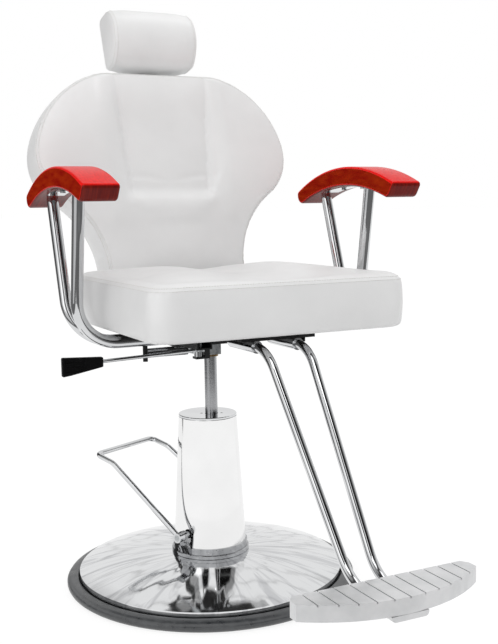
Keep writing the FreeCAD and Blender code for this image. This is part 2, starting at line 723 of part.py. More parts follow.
def pump_flange():
    """Chromed collar round the casting, with a bearing ear each side for the pedal shaft."""
    inner = S.block_rad + S.loose
    step = S.dish_top_z + S.flange_step
    spigot = S.shroud_foot_rad - S.shroud_wall - 0.9
    collar = turned("flange_collar", [
        (inner, S.dish_top_z), (S.flange_rad - 1, S.dish_top_z), (S.flange_rad, S.dish_top_z + 1),
        (S.flange_rad, step - 1), (S.flange_rad - 1, step), (S.band_rad, step),
        (S.band_rad, S.shroud_foot_z), (spigot, S.shroud_foot_z),
        (spigot, S.shroud_foot_z + S.spigot_tall), (inner, S.shroud_foot_z + S.spigot_tall),
    ])
    outer = S.ear_in + S.ear_thick
    slab = 9.0
    pieces = [collar]
    tools = []
    for side in (1, -1):
        web = plate("ear_web_%s" % ("right" if side > 0 else "left"), "XZ_Plane", [
            ((S.band_rad - 3) * side, step - 4), (S.flange_rad * side, step - 4),
            (S.flange_rad * side, step), (outer * side, S.shaft_z - 6), (outer * side, S.shaft_z),
            (S.ear_in * side, S.shaft_z), (S.ear_in * side, S.shaft_z - 4),
            ((S.band_rad - 3) * side, step + 3),
        ][::side], 2 * slab, None, -slab)
        start = S.ear_in if side > 0 else -outer
        end = outer if side > 0 else -S.ear_in
        eye = lying("ear_eye_%d" % (side > 0), S.ear_rad, (start, 0, S.shaft_z),
                    (end, 0, S.shaft_z), "x")
        pieces += [web, eye]
        tools.append(lying("ear_bore_%d" % (side > 0), S.shaft_rad + S.running,
                           (start - 5, 0, S.shaft_z), (end + 5, 0, S.shaft_z), "x"))
    piece = cut("pump_flange", fused("flange_solid", pieces), tools)
    piece.Placement = pump_frame()
    node(piece, "pump_flange")


def pump_cylinder():
    """Hydraulic cylinder on the ram axis, with the shoulder that carries the oil tank."""
    outer = S.bore_rad + S.cyl_wall
    shoulder = S.tank_floor_z - 8
    node(turned("pump_cylinder", [
        (0, S.cyl_foot_z), (outer, S.cyl_foot_z), (outer, shoulder), (outer + 9, shoulder),
        (outer + 9, S.tank_floor_z), (outer, S.tank_floor_z), (outer, S.cyl_top_z),
        (S.bore_rad, S.cyl_top_z), (S.bore_rad, S.cyl_foot_z + 5), (0, S.cyl_foot_z + 5),
    ]), "pump_cylinder")


def oil_reservoir():
    """Thin tank round the cylinder; its floor has a hole for the cylinder."""
    inner = S.tank_rad - S.tank_wall
    shell = drum("tank_shell", S.tank_rad, S.tank_floor_z, S.tank_top_z)
    room = drum("tank_room", inner, S.tank_floor_z + 4, S.tank_top_z + 1)
    hole = drum("tank_hole", S.bore_rad + S.cyl_wall + S.loose, S.tank_floor_z - 1,
                S.tank_floor_z + 5, (0, -S.pump_off))
    piece = cut("oil_reservoir", shell, [room, hole])
    piece.Placement = pump_frame()
    node(piece, "oil_reservoir")


def gland_head():
    """Head that closes tank and cylinder and guides the ram."""
    outer = S.bore_rad + S.cyl_wall
    lid = drum("gland_lid", S.tank_rad + 2, S.tank_top_z, S.tank_top_z + S.gland_thick)
    boss = drum("gland_boss", outer, S.cyl_top_z, S.tank_top_z + 1, (0, -S.pump_off))
    plug = drum("gland_plug", S.bore_rad - S.running, S.cyl_top_z - 10, S.cyl_top_z + 1,
                (0, -S.pump_off))
    bore = drum("gland_bore", S.ram_rad + S.running, S.cyl_top_z - 11,
                S.tank_top_z + S.gland_thick + 1, (0, -S.pump_off))
    piece = cut("gland_head", fused("gland_solid", [lid, boss, plug]), [bore])
    piece.Placement = pump_frame()
    node(piece, "gland_head")


def shroud():
    """Tapered cover on the flange, with a round notch each side for the pedal shaft."""
    shell = turned("shroud_shell", [
        (S.shroud_foot_rad - S.shroud_wall, S.shroud_foot_z), (S.shroud_foot_rad, S.shroud_foot_z),
        (S.shroud_top_rad, S.shroud_top_z), (S.shroud_top_rad - S.shroud_wall, S.shroud_top_z),
    ])
    reach = S.shroud_foot_rad + 5
    notch = lying("shroud_notch", S.notch_rad, (-reach, 0, S.shaft_z), (reach, 0, S.shaft_z), "x")
    piece = cut("shroud", shell, [notch])
    piece.Placement = pump_frame()
    node(piece, "shroud")


def shroud_cap():
    """Polished lid with a spigot that stands on the gland head, and two spanner holes."""
    rim = S.shroud_top_z + S.cap_gap
    spigot = S.shroud_top_rad - S.shroud_wall - 0.6
    foot = S.tank_top_z + S.gland_thick
    disc = turned("cap_disc", [
        (0, foot), (spigot, foot), (spigot, rim), (S.shroud_top_rad, rim),
        (S.shroud_top_rad, rim + S.cap_thick - 1), (S.shroud_top_rad - 1, rim + S.cap_thick),
        (0, rim + S.cap_thick),
    ])
    top = rim + S.cap_thick + 1
    tools = [drum("cap_bore", S.ram_rad + 0.7, foot - 1, top, (0, -S.pump_off))]
    turn = math.radians(num(S.spanner_turn - S.pump_turn))
    for side in (1, -1):
        spot = (S.spanner_out * math.cos(turn) * side,
                S.spanner_out * math.sin(turn) * side - S.pump_off)
        tools.append(drum("cap_spanner_%d" % (side > 0), S.spanner_rad, rim - 2, top, spot))
    piece = cut("shroud_cap", disc, tools)
    piece.Placement = pump_frame()
    node(piece, "shroud_cap")


# The pedal and the plunger that it works

def pedal_yoke():
    """Stub shafts joined round the cylinder by two cheeks and a bar that presses the plunger."""
    inner = S.yoke_half - S.yoke_thick / 2
    outer = S.ear_in + S.ear_thick + S.hub_long + S.loose
    rise = math.radians(num(S.yoke_rise))
    bar_y = S.yoke_out * math.cos(rise)
    bar_z = S.shaft_z + S.yoke_out * math.sin(rise)
    pieces = [lying("yoke_bar", S.yoke_bar_rad, (-inner - 1, bar_y, bar_z),
                    (inner + 1, bar_y, bar_z), "x")]
    for side in (1, -1):
        start, end = (inner, outer) if side > 0 else (-outer, -inner)
        pieces.append(lying("yoke_stub_%d" % (side > 0), S.shaft_rad, (start, 0, S.shaft_z),
                            (end, 0, S.shaft_z), "x"))
        low, high = (inner, inner + S.yoke_thick) if side > 0 else (-inner - S.yoke_thick, -inner)
        pieces.append(lying("yoke_eye_%d" % (side > 0), S.shaft_rad + 2, (low, 0, S.shaft_z),
                            (high, 0, S.shaft_z), "x"))
        pieces.append(lying("yoke_end_%d" % (side > 0), S.shaft_rad + 1, (low, bar_y, bar_z),
                            (high, bar_y, bar_z), "x"))
        link = block("yoke_link_%d" % (side > 0), (0, 0, -6), (S.yoke_thick, S.yoke_out, 6))
        link.Placement = FreeCAD.Placement(
            Vec(num(low), 0, num(S.shaft_z)), FreeCAD.Rotation(Vec(1, 0, 0), num(S.yoke_rise)))
        pieces.append(link)
    piece = fused("pedal_yoke", pieces)
    piece.Placement = pump_frame()
    node(piece, "pedal_yoke")


def pedal_bar():
    """Round bar bent into a loop: two arms that lift from their hubs, flatten and close."""
    foot_half = num(S.ear_in + S.ear_thick + S.hub_long / 2) + num(S.loose)
    half, shaft_z = num(S.bar_half), num(S.shaft_z)
    points = [
        Vec(-foot_half, 0, shaft_z), Vec(-half, num(S.bend_out), num(S.bend_z)),
        Vec(-half, num(S.cross_out), num(S.cross_z)), Vec(half, num(S.cross_out), num(S.cross_z)),
        Vec(half, num(S.bend_out), num(S.bend_z)), Vec(foot_half, 0, shaft_z),
    ]
    bar = swept(bent_path(points, [40, 14, 14, 40]), num(S.bar_rad))
    start = num(S.ear_in + S.ear_thick + S.loose)
    long, bore = num(S.hub_long), num(S.shaft_rad) + 0.01
    for side in (1, -1):
        away = Vec(side, 0, 0)
        bar = bar.fuse(Part.makeCylinder(num(S.hub_rad), long, Vec(side * start, 0, shaft_z), away))
    for side in (1, -1):
        bar = bar.cut(Part.makeCylinder(bore, long + 2, Vec(side * (start - 1), 0, shaft_z),
                                        Vec(side, 0, 0)))
    shaped("pedal_bar", bar.removeSplitter(), pump_frame())


def pump_plunger():
    """Plunger under the yoke's bar: a head that the spring pushes up, and the rod below it."""
    top = S.shaft_z + S.yoke_out * math.sin(math.radians(num(S.yoke_rise)))
    top = top - S.yoke_bar_rad - S.loose
    head = top - S.plunger_head
    piece = fused("pump_plunger", [
        drum("plunger_head", S.plunger_head_rad, head, top, (0, plunger_out())),
        drum("plunger_rod", S.plunger_rad, head - S.plunger_long, head + 1, (0, plunger_out())),
    ])
    piece.Placement = pump_frame()
    node(piece, "pump_plunger")


def return_spring():
    """Sleeve that stands for the short spring between casting and plunger head."""
    top = S.shaft_z + S.yoke_out * math.sin(math.radians(num(S.yoke_rise)))
    head = top - S.yoke_bar_rad - S.loose - S.plunger_head
    spot = (0, plunger_out())
    piece = cut("return_spring", drum("spring_out", S.plunger_head_rad - 1, S.block_top_z, head, spot),
                [drum("spring_in", S.plunger_rad + 1, S.block_top_z - 1, head + 1, spot)])
    piece.Placement = pump_frame()
    node(piece, "return_spring")


# The ram

def ram():
    """Ground ram with a spigot for its piston ring and a shoulder washer for the socket."""
    step = S.ram_foot_z + S.piston_tall
    node(turned("ram", [
        (0, S.ram_foot_z), (S.spigot_rad, S.ram_foot_z), (S.spigot_rad, step), (S.ram_rad, step),
        (S.ram_rad, S.ram_top_z - 2), (S.ram_rad - 2, S.ram_top_z), (0, S.ram_top_z),
    ]), "ram")


def ram_piston():
    """Piston ring that runs in the cylinder bore."""
    node(turned("ram_piston", [
        (S.spigot_rad + 0.02, S.ram_foot_z), (S.bore_rad - S.running, S.ram_foot_z),
        (S.bore_rad - S.running, S.ram_foot_z + S.piston_tall),
        (S.spigot_rad + 0.02, S.ram_foot_z + S.piston_tall),
    ]), "ram_piston")


def swivel_washer():
    """Bronze washer on the ram that the socket turns on."""
    top = S.hub_foot_z - S.loose
    node(turned("swivel_washer", [
        (S.ram_rad + 0.02, top - S.washer_tall), (S.washer_rad, top - S.washer_tall),
        (S.washer_rad, top), (S.ram_rad + 0.02, top),
    ]), "swivel_washer")


# The seat: socket, frame, board and cushion

def hub_socket():
    """Square socket that turns on the ram, open below."""
    body = block("hub_block", (-S.hub_wide / 2, -S.hub_deep / 2, S.hub_foot_z),
                 (S.hub_wide / 2, S.hub_deep / 2, S.mid_plate_z))
    bore = drum("hub_bore", S.ram_rad + S.running, S.hub_foot_z - 1, S.ram_top_z + S.loose)
    node(cut("hub_socket", body, [bore]), "hub_socket")


def seat_bolt_spots():
    """The four bolts that hold the board on the rails, each with the height of its head's top."""
    front = (-(S.rail_front - 20), S.rail_foot_z)
    rear = (S.seat_rear - 60, S.mid_plate_z)
    return [(S.rail_mid * side, y, top) for side in (1, -1) for y, top in (front, rear)]


def seat_frame():
    """Two box rails on a middle plate, with a hinge lug at the rear of each rail."""
    half = S.rail_wide / 2
    foot = S.rail_foot_z
    pieces = [block("frame_plate", (-(S.rail_mid + half), -S.mid_plate_half, S.mid_plate_z),
                    (S.rail_mid + half, S.mid_plate_half, foot))]
    tools = []
    for side in (1, -1):
        mid = S.rail_mid * side
        tag = "left" if side > 0 else "right"
        rail = block("rail_" + tag, (mid - half, -S.rail_front, foot),
                     (mid + half, S.rail_rear, S.board_foot_z))
        lug = block("lug_" + tag, (mid - half, S.rail_rear - 1, foot),
                    (mid + half, S.hinge_y, S.board_foot_z))
        eye = lying("lug_eye_" + tag, (S.board_foot_z - foot) / 2, (mid - half, S.hinge_y, S.hinge_z),
                    (mid + half, S.hinge_y, S.hinge_z), "x")
        pieces += [rail, lug, eye]
        tools.append(block("rail_room_" + tag,
                           (mid - half + S.rail_wall, -S.rail_front - 1, foot + S.rail_wall),
                           (mid + half - S.rail_wall, S.rail_rear - 5,
                            S.board_foot_z - S.rail_wall)))
        tools.append(lying("lug_bore_" + tag, S.hinge_rad + 0.01,
                           (mid - half - 1, S.hinge_y, S.hinge_z),
                           (mid + half + 1, S.hinge_y, S.hinge_z), "x"))
    for turn, (x, y, head_top) in enumerate(seat_bolt_spots()):
        tools.append(drum("frame_hole_%d" % turn, S.bolt_rad + S.running, head_top - 1,
                          S.board_foot_z + 1, (x, y)))
    node(cut("seat_frame", fused("frame_solid", pieces), tools), "seat_frame")


def seat_bolts():
    """Bolts up through the rails into the board."""
    bolts = []
    for turn, (x, y, head_top) in enumerate(seat_bolt_spots()):
        bolts.append(drum("seat_bolt_head_%d" % turn, S.bolt_head_rad, head_top - 5, head_top,
                          (x, y)))
        bolts.append(drum("seat_bolt_shank_%d" % turn, S.bolt_rad, head_top - 1,
                          S.board_foot_z + 9, (x, y)))
    node(fused("seat_bolts", bolts), "seat_bolts")


def board_corners(play=0.0):
    """Outline of the seat board, set in from the cushion's sides."""
    edge = 40.0 - play
    return ((-(S.seat_half - edge), -(S.seat_front - edge)), (S.seat_half - edge, S.seat_rear - edge))


def seat_board():
    """Plywood board in the underside of the cushion."""
    low, high = board_corners()
    top = S.board_foot_z + S.board_thick
    board = block("board_sheet", low + (S.board_foot_z,), high + (top,))
    holes = [drum("board_hole_%d" % turn, S.bolt_rad + S.running, S.board_foot_z - 1,
                  S.board_foot_z + 10, (x, y)) for turn, (x, y, _) in enumerate(seat_bolt_spots())]
    node(cut("seat_board", board, holes), "seat_board")


def domed(edge, rise, run, first, steps=5):
    """Levels of a dome above a seam, as (height, inset), along a quarter of an ellipse."""
    levels = []
    for step in range(1, steps + 1):
        turn = math.pi / 2 * step / steps
        levels.append((edge + rise * math.sin(turn), first + run * (1 - math.cos(turn))))
    return levels


def swelled(foot, edge, belly, steps=4):
    """Levels of an upright side that bulges by a belly between its two edges."""
    levels = []
    for step in range(steps + 1):
        share = step / steps
        levels.append((foot + (edge - foot) * share, -belly * math.sin(math.pi * share)))
    return levels


def seat_cushion():
    """Upholstered seat: upright sides that bulge a little, a seam and a crowned top."""
    foot, seam, crown = num(S.board_foot_z), num(S.seat_seam_z), num(S.seat_crown_z)
    half, front, rear = num(S.seat_half), -num(S.seat_front), num(S.seat_rear)
    corner = num(S.seat_corner)
    levels = [(foot, 6.0)] + swelled(foot + 6, seam - 3, 2.5) + [(seam, 2.0)]
    levels += domed(seam, crown - seam, 95.0, 2.0)
    wires = [rounded_box_wire(half - inset, front + inset, rear - inset,
                              max(corner - inset * 0.3, 12.0), z) for z, inset in levels]
    shape = Part.makeLoft(wires, True, True)
    low, high = board_corners(num(S.loose))
    top = foot + num(S.board_thick + S.loose)
    pocket = Part.makeBox(num(high[0] - low[0]), num(high[1] - low[1]), top - foot + 1,
                          Vec(num(low[0]), num(low[1]), foot - 1))
    shaped("seat_cushion", shape.cut(pocket))


# The armrests: pads, straps and tubes

def pad_arcs():
    """Radii of the pad's upper and lower arcs, from their chords and rises."""
    def radius(wide, tall, rise):
        return ((wide * wide + tall * tall) / 4 + rise * rise) / (rise * 2)
    wide = S.pad_front + S.pad_rear
    low_wide = wide - 11
    low_tall = (S.pad_front_z - S.pad_front_thick) - (S.pad_rear_z - S.pad_rear_thick)
    return (radius(wide, S.pad_front_z - S.pad_rear_z, S.pad_crown),
            radius(low_wide, low_tall, S.pad_hollow))


def pad_corners():
    """The pad's four corners seen from its side, as (Y, Z): rear top, rear foot, front foot, top."""
    return [
        (S.pad_rear, S.pad_rear_z), (S.pad_rear - 7, S.pad_rear_z - S.pad_rear_thick),
        (-(S.pad_front - 4), S.pad_front_z - S.pad_front_thick), (-S.pad_front, S.pad_front_z),
    ]


def hollow_centre():
    """Centre and radius of the pad's lower arc in the side view."""
    rear, front = [Vec(0, num(y), num(z)) for y, z in pad_corners()[1:3]]
    rise = num(S.pad_hollow)
    chord = front - rear
    across = Vec(0, chord.z, -chord.y).normalize()
    radius = (chord.Length ** 2 / 4 + rise * rise) / (2 * rise)
    return (rear + front) * 0.5 + across * (rise - radius), radius


def pad_screw_spots(side):
    """The two screws of a pad, each with the height of the strap's underside there."""
    centre, radius = hollow_centre()
    under = radius - num(S.loose + S.strap_thick)
    return [Vec(num(S.arm_mid) * side, y, centre.z + math.sqrt(under ** 2 - (y - centre.y) ** 2))
            for y in (-num(S.screw_front), -num(S.screw_rear))]


def screw_bores(side, radius):
    """Cylinders on the screws of one pad, to cut their holes with."""
    long = num(S.screw_long) + 1
    return [Part.makeCylinder(radius, long, spot - Vec(0, 0, 1), UP)
            for spot in pad_screw_spots(side)]


def arm_screws():
    """Round-head screws up through the straps into the pads."""
    screws = []
    for side in (-1, 1):
        for spot in pad_screw_spots(side):
            foot = spot - Vec(0, 0, 3.5)
            shank = Part.makeCylinder(num(S.screw_rad), num(S.screw_long) + 3, foot, UP)
            screws.append(Part.makeCylinder(num(S.screw_rad) * 2, 3.0, foot, UP).fuse(shank))
    shaped("arm_screws", Part.makeCompound(screws))


def armrests():
    """Lacquered pads: a side view with two long arcs, padded across and rounded all round."""
    upper, lower = pad_arcs()
    for side, tag in ((-1, "right"), (1, "left")):
        name = "armrest_" + tag
        start = S.arm_mid * side - S.pad_wide / 2
        body = plate(name + "_body", "YZ_Plane", pad_corners(), S.pad_wide,
                     {1: lower, 3: -upper}, start)
        solid = body.Tip
        fillet = body.newObject("PartDesign::Fillet", name + "_round")
        fillet.Base = (solid, ["Edge%d" % number for number in range(1, 13)])
        bind(fillet, "Radius", S.pad_round)
        body.Tip = fillet
        DOC.recompute()
        drills = []
        for turn, spot in enumerate(pad_screw_spots(side)):
            drills.append(drum("%s_screw_%d" % (tag, turn), S.screw_rad + S.running, spot.z - 1,
                               spot.z + S.screw_long + 1, (spot.x, spot.y)))
        node(cut(name + "_drilled", body, drills), name)


def arm_straps():
    """Chromed straps bent to the hollow of the pads."""
    centre, radius = hollow_centre()
    outer = radius - num(S.loose)
    wide = num(S.strap_wide)
    for side, tag in ((-1, "right"), (1, "left")):
        start = Vec(num(S.arm_mid) * side - wide / 2, centre.y, centre.z)
        ring = Part.makeCylinder(outer, wide, start, Vec(1, 0, 0))
        ring = ring.cut(Part.makeCylinder(outer - num(S.strap_thick), wide, start, Vec(1, 0, 0)))
        window = Part.makeBox(wide, 215.0, 2 * outer, Vec(start.x, -148.0, centre.z))
        strap = ring.common(window).cut(screw_bores(side, num(S.screw_rad + S.running)))
        shaped("arm_strap_" + tag, strap)


def arm_tubes():
    """Four bent tubes: down from the straps, round the seat's lower edge and in to the rails."""
    centre, radius = hollow_centre()
    under = radius - num(S.loose + S.strap_thick)
    top_z, run_z = num(S.arm_top_z), num(S.arm_run_z)
    rail = num(S.rail_mid + S.rail_wide / 2)
    ends = {"front": (-num(S.arm_front_top), -num(S.arm_front_foot)),
            "rear": (num(S.arm_rear_top), -num(S.arm_rear_foot))}
    for side, tag in ((-1, "right"), (1, "left")):
        x = num(S.arm_mid) * side
        room = Part.makeCylinder(under, 80.0, Vec(x - 40, centre.y, centre.z), Vec(1, 0, 0))
        lower = Part.makeBox(800, 800, 200, Vec(-400, -400, run_z - 60))
        for place, (top_y, foot_y) in ends.items():
            corner = Vec(x, foot_y, run_z)
            top = Vec(x, top_y, top_z)
            top = top + (top - corner).normalize() * 30
            path = bent_path([top, corner, Vec(rail * side, foot_y, run_z)], [num(S.arm_bend_rad)])
            pipe = tube(path, num(S.arm_tube_rad), num(S.arm_tube_wall))
            shaped("arm_tube_%s_%s" % (tag, place), pipe.common(room.fuse(lower)))


# The footrest

def footrest_plate():
    """Black plate under the seat that carries the two sockets."""
    piece = block("footrest_plate", (-72, -(S.socket_front + 4), S.foot_top_z + S.socket_rad),
                  (72, -(S.socket_rear - 40), S.board_foot_z))
    node(piece, "footrest_plate")


def footrest_sockets():
    """Two tubular sockets with a weld pad each, open at the front."""
    pieces, tools = [], []
    for side in (1, -1):
        x = S.foot_gap_top / 2 * side
        spot = "left" if side > 0 else "right"
        pieces.append(lying("socket_" + spot, S.socket_rad, (x, -S.socket_front, S.foot_top_z),
                            (x, -S.socket_rear, S.foot_top_z), "y"))
        pieces.append(block("socket_pad_" + spot, (x - 7, -(S.socket_front - 4), S.foot_top_z + 5),
                            (x + 7, -(S.socket_rear + 4), S.foot_top_z + S.socket_rad)))
        tools.append(lying("socket_bore_" + spot, S.foot_tube_rad + S.running,
                           (x, -(S.socket_front + 1), S.foot_top_z),
                           (x, -(S.socket_rear - 1), S.foot_top_z), "y"))
    node(cut("footrest_sockets", fused("sockets_solid", pieces), tools), "footrest_sockets")


def footrest_tubes():
    """Two tubes that leave the sockets level, fall forward, close in and end level."""
    for side, tag in ((-1, "right"), (1, "left")):
        top_x = num(S.foot_gap_top) / 2 * side
        end_x = num(S.foot_gap_end) / 2 * side
        points = [
            Vec(top_x, -num(S.socket_rear + 5), num(S.foot_top_z)),
            Vec(top_x, -num(S.foot_corner_top), num(S.foot_top_z)),
            Vec(end_x, -num(S.foot_corner_end), num(S.foot_end_z)),
            Vec(end_x, -num(S.foot_tube_end), num(S.foot_end_z)),
        ]
        path = bent_path(points, [num(S.foot_bend_top), num(S.foot_bend_end)])
        shaped("footrest_tube_" + tag, tube(path, num(S.foot_tube_rad), num(S.foot_tube_wall)))


def clamp_bolt_spots():
    return [(0, -(S.tread_front - 28)), (0, -(S.tread_rear + 18))]


def footplate():
    """Cast tread: straight rear, bowed front, grooved top, and a skirt round a hollow underside."""
    foot = S.tread_top_z - S.tread_skirt
    half, tip = S.tread_half, S.tread_tip
    rise = S.tread_front - tip
    arc = (half * half + rise * rise) / (rise * 2)
    body = plate("tread_body", "XY_Plane", [
        (-(half - 8), -S.tread_rear), (-half, -(S.tread_rear + 12)), (-half, -tip), (half, -tip),
        (half, -(S.tread_rear + 12)), (half - 8, -S.tread_rear),
    ], S.tread_skirt, {2: arc}, foot)
    inner = half - S.tread_wall
    bow = rise - 3
    arc = (inner * inner + bow * bow) / (bow * 2)
    front = tip - S.tread_wall + 3
    pocket(body, "tread_hollow", [
        (-(inner - 8), -(S.tread_rear - 5)), (-inner, -(S.tread_rear + 14)), (-inner, -front),
        (inner, -front), (inner, -(S.tread_rear + 14)), (inner - 8, -(S.tread_rear - 5)),
    ], foot, S.tread_skirt - S.tread_web, {2: arc}, True)
    start = -S.groove_pitch * 5
    groove = pocket(body, "tread_groove", [
        (start - S.groove_wide / 2, -(S.tread_rear - 5)),
        (start - S.groove_wide / 2, -(S.tread_front + 5)),
        (start + S.groove_wide / 2, -(S.tread_front + 5)),
        (start + S.groove_wide / 2, -(S.tread_rear - 5)),
    ], S.tread_top_z, S.groove_deep, None, False)
    row = body.newObject("PartDesign::LinearPattern", "tread_grooves")
    row.Originals = [groove]
    row.Direction = (groove.Profile[0], ["H_Axis"])
    bind(row, "Length", S.groove_pitch * 10)
    row.Occurrences = 11
    body.Tip = row
    DOC.recompute()
    under = S.tread_foot_z
    holes = [drum("tread_hole_%d" % turn, 3.0 + S.running, under - 1, under + 8, spot)
             for turn, spot in enumerate(clamp_bolt_spots())]
    node(cut("footplate", body, holes), "footplate")


def pocket(body, name, corners, height, depth, arcs, upwards):
    """Cut an outline into a body from one height, and make sure that it cut."""
    before = body.Shape.Volume
    sketch = outline(body, "XY_Plane", corners, arcs, height)
    feature = body.newObject("PartDesign::Pocket", name)
    feature.Profile = sketch
    bind(feature, "Length", depth)
    feature.Reversed = upwards
    sketch.Visibility = False
    DOC.recompute()
    if body.Shape.Volume >= before:
        raise ValueError(name + " cut nothing")
    return feature


def footplate_clamp():
    """Block under the tread that takes both tube ends, with a lip below the skirt."""
    top, foot = num(S.tread_foot_z), num(S.clamp_foot_z)
    skirt = num(S.tread_top_z - S.tread_skirt)
    half = num(S.clamp_half)
    rear, front = -num(S.tread_rear) - 4, -num(S.tread_front - S.tread_wall) + 3.0
    body = Part.makeBox(2 * half, rear - front, top - foot, Vec(-half, front, foot))
    lip = Part.makeBox(2 * half, 40.0, skirt - foot - num(S.loose),
                       Vec(-half, -num(S.tread_front), foot))
    whole = body.fuse(lip).removeSplitter()
    lower = [edge for edge in whole.Edges
             if edge.BoundBox.ZMax < foot + 0.1 and edge.BoundBox.XLength < 0.1]
    whole = whole.makeFillet(7.0, lower)
    for side in (1, -1):
        start = Vec(num(S.foot_gap_end) / 2 * side, 0, num(S.foot_end_z))
        end_y = -num(S.foot_tube_end) - num(S.loose)
        bore = Part.makeCylinder(num(S.foot_tube_rad + S.running), rear + 5 - end_y,
                                 Vec(start.x, end_y, start.z), Vec(0, 1, 0))
        whole = whole.cut(bore)
    for x, y in clamp_bolt_spots():
        whole = whole.cut(Part.makeCylinder(3.0 + num(S.loose), 60.0, Vec(x, num(y), foot - 1), UP))
    shaped("footplate_clamp", whole)


def footplate_bolts():
    """Two bolts up through the clamp into the tread."""
    under = S.tread_foot_z
    bolts = []
    for turn, spot in enumerate(clamp_bolt_spots()):
        bolts.append(drum("clamp_head_%d" % turn, 5.5, S.clamp_foot_z - 4, S.clamp_foot_z, spot))
        bolts.append(drum("clamp_shank_%d" % turn, 3.0, S.clamp_foot_z - 1, under + 7, spot))
    node(fused("footplate_bolts", bolts), "footplate_bolts")


# The recline lock and its lever, on the sitter's right

def crank_pin_spot():
    """Place of the crank's pin at rest, behind and below the hinge."""
    turn = math.radians(num(S.crank_turn))
    return (S.hinge_y + S.crank_long * math.sin(turn), S.hinge_z - S.crank_long * math.cos(turn))


def lock_cylinder():
    """Cylinder of the recline lock, clamped under the middle plate."""
    x = -S.lock_side
    body = lying("lock_body", S.lock_rad, (x, -S.lock_front, S.lock_z), (x, S.lock_rear, S.lock_z),
                 "y")
    room = lying("lock_room", S.lock_rad - 3, (x, -(S.lock_front - 8), S.lock_z),
                 (x, S.lock_rear - 10, S.lock_z), "y")
    bore = lying("lock_bore", S.lock_rod_rad + S.running, (x, S.lock_rear - 11, S.lock_z),
                 (x, S.lock_rear + 1, S.lock_z), "y")
    clamps = [block("lock_clamp_%d" % turn, (x - 8, y, S.lock_z + S.lock_rad - 3),
                    (x + 8, y + 20, S.mid_plate_z)) for turn, y in enumerate((-45, 35))]
    node(cut("lock_cylinder", fused("lock_solid", [body] + clamps), [room, bore]), "lock_cylinder")


def lock_rod():
    """Rod of the lock: piston, rod, and a flat eye with an upright slot for the crank pin."""
    x = -S.lock_side
    pin_y, pin_z = crank_pin_spot()
    piston = lying("rod_piston", S.lock_rad - 3 - S.loose, (x, 0, S.lock_z), (x, 10, S.lock_z), "y")
    rod = lying("rod_shaft", S.lock_rod_rad, (x, 5, S.lock_z), (x, pin_y - 20, S.lock_z), "y")
    eye = block("rod_eye", (x - 3, pin_y - 22, S.lock_z - 13), (x + 3, pin_y + 10, S.lock_z + 12))
    play = S.crank_pin_rad + 0.4
    slot = block("rod_slot", (x - 4, pin_y - play, S.lock_z - 7.5),
                 (x + 4, pin_y + play, S.lock_z + 6.5))
    node(cut("lock_rod", fused("rod_solid", [piston, rod, eye]), [slot]), "lock_rod")


def lever_bracket():
    """Black bracket under the middle plate: a wall and two ears that hold the lever's pin."""
    x, y = -S.lever_side, -S.lever_front
    ears = [(S.mid_plate_z - 4, S.mid_plate_z), (S.lever_z - 16, S.lever_z - 12)]
    pieces = [block("bracket_wall", (x + 10, y - 9, S.lever_z - 16),
                    (x + 20, y + 9, S.mid_plate_z))]
    for turn, (low, high) in enumerate(ears):
        pieces.append(block("bracket_ear_%d" % turn, (x - 8, y - 9, low), (x + 11, y + 9, high)))
    pieces.append(drum("bracket_pin", S.lever_pin_rad, S.lever_z - 14, S.mid_plate_z - 2, (x, y)))
    node(fused("lever_bracket", pieces), "lever_bracket")


def lever_rod():
    """Thin rod with the knuckle that turns on the bracket's pin."""
    x, y, z = -num(S.lever_side), -num(S.lever_front), num(S.lever_z)
    foot, top = z - 12 + num(S.loose), num(S.mid_plate_z) - 4 - num(S.loose)
    knuckle = Part.makeCylinder(8.0, top - foot, Vec(x, y, foot), UP)
    start = Vec(x - 5, y, z)
    end = Vec(-num(S.lever_end) - 22, y, z - num(S.lever_drop))
    rod = Part.makeCylinder(num(S.lever_rod_rad), (end - start).Length, start, end - start)
    hole = Part.makeCylinder(num(S.lever_pin_rad + S.running), 60, Vec(x, y, foot - 10), UP)
    shaped("lever_rod", knuckle.fuse(rod).removeSplitter().cut(hole))


def lever_paddle():
    """Flat grip that widens to its tip, with three finger grooves on each face."""
    y = -num(S.lever_front)
    root, tip = -num(S.lever_end), -num(S.lever_end + S.paddle_long)
    z = num(S.lever_z - S.lever_drop)
    thick, low, tall = num(S.paddle_thick), num(S.paddle_root) / 2, num(S.paddle_tip)
    side = [Vec(root, y - thick / 2, z - low), Vec(root, y - thick / 2, z + low),
            Vec(tip, y - thick / 2, z + low + 4), Vec(tip, y - thick / 2, z + low + 4 - tall),
            Vec(tip + 16, y - thick / 2, z + low + 6 - tall)]
    grip = Part.Face(Part.makePolygon(side + side[:1])).extrude(Vec(0, thick, 0))
    grip = grip.makeFillet(2.5, grip.Edges)
    for row in range(3):
        height = z + low - 4 - row * 8.5
        for face in (-1, 1):
            groove = Part.makeCylinder(2.0, 34.0, Vec(tip + 5, y + face * (thick / 2 + 0.6), height),
                                       Vec(1, 0, 0))
            grip = grip.cut(groove)
    start = Vec(-num(S.lever_side) - 5, y, num(S.lever_z))
    end = Vec(-num(S.lever_end) - 22, y, z)
    bore = Part.makeCylinder(num(S.lever_rod_rad), (end - start).Length + 0.3, start, end - start)
    shaped("lever_paddle", grip.cut(bore))


def lever_stud():
    """Rubber-sleeved stud under the front arm tube, which stops the lever."""
    gap = S.lever_rod_rad + S.stud_rad + S.loose
    spot = (-S.stud_side, -(S.lever_front - gap))
    top = S.arm_run_z - S.arm_tube_rad + 4
    post = drum("stud_post", S.stud_rad, top - 4 - S.stud_long, top, spot)
    bed = lying("stud_bed", S.arm_tube_rad + 0.02, (spot[0] - 20, -S.arm_front_foot, S.arm_run_z),
                (spot[0] + 20, -S.arm_front_foot, S.arm_run_z), "x")
    node(cut("lever_stud", post, [bed]), "lever_stud")


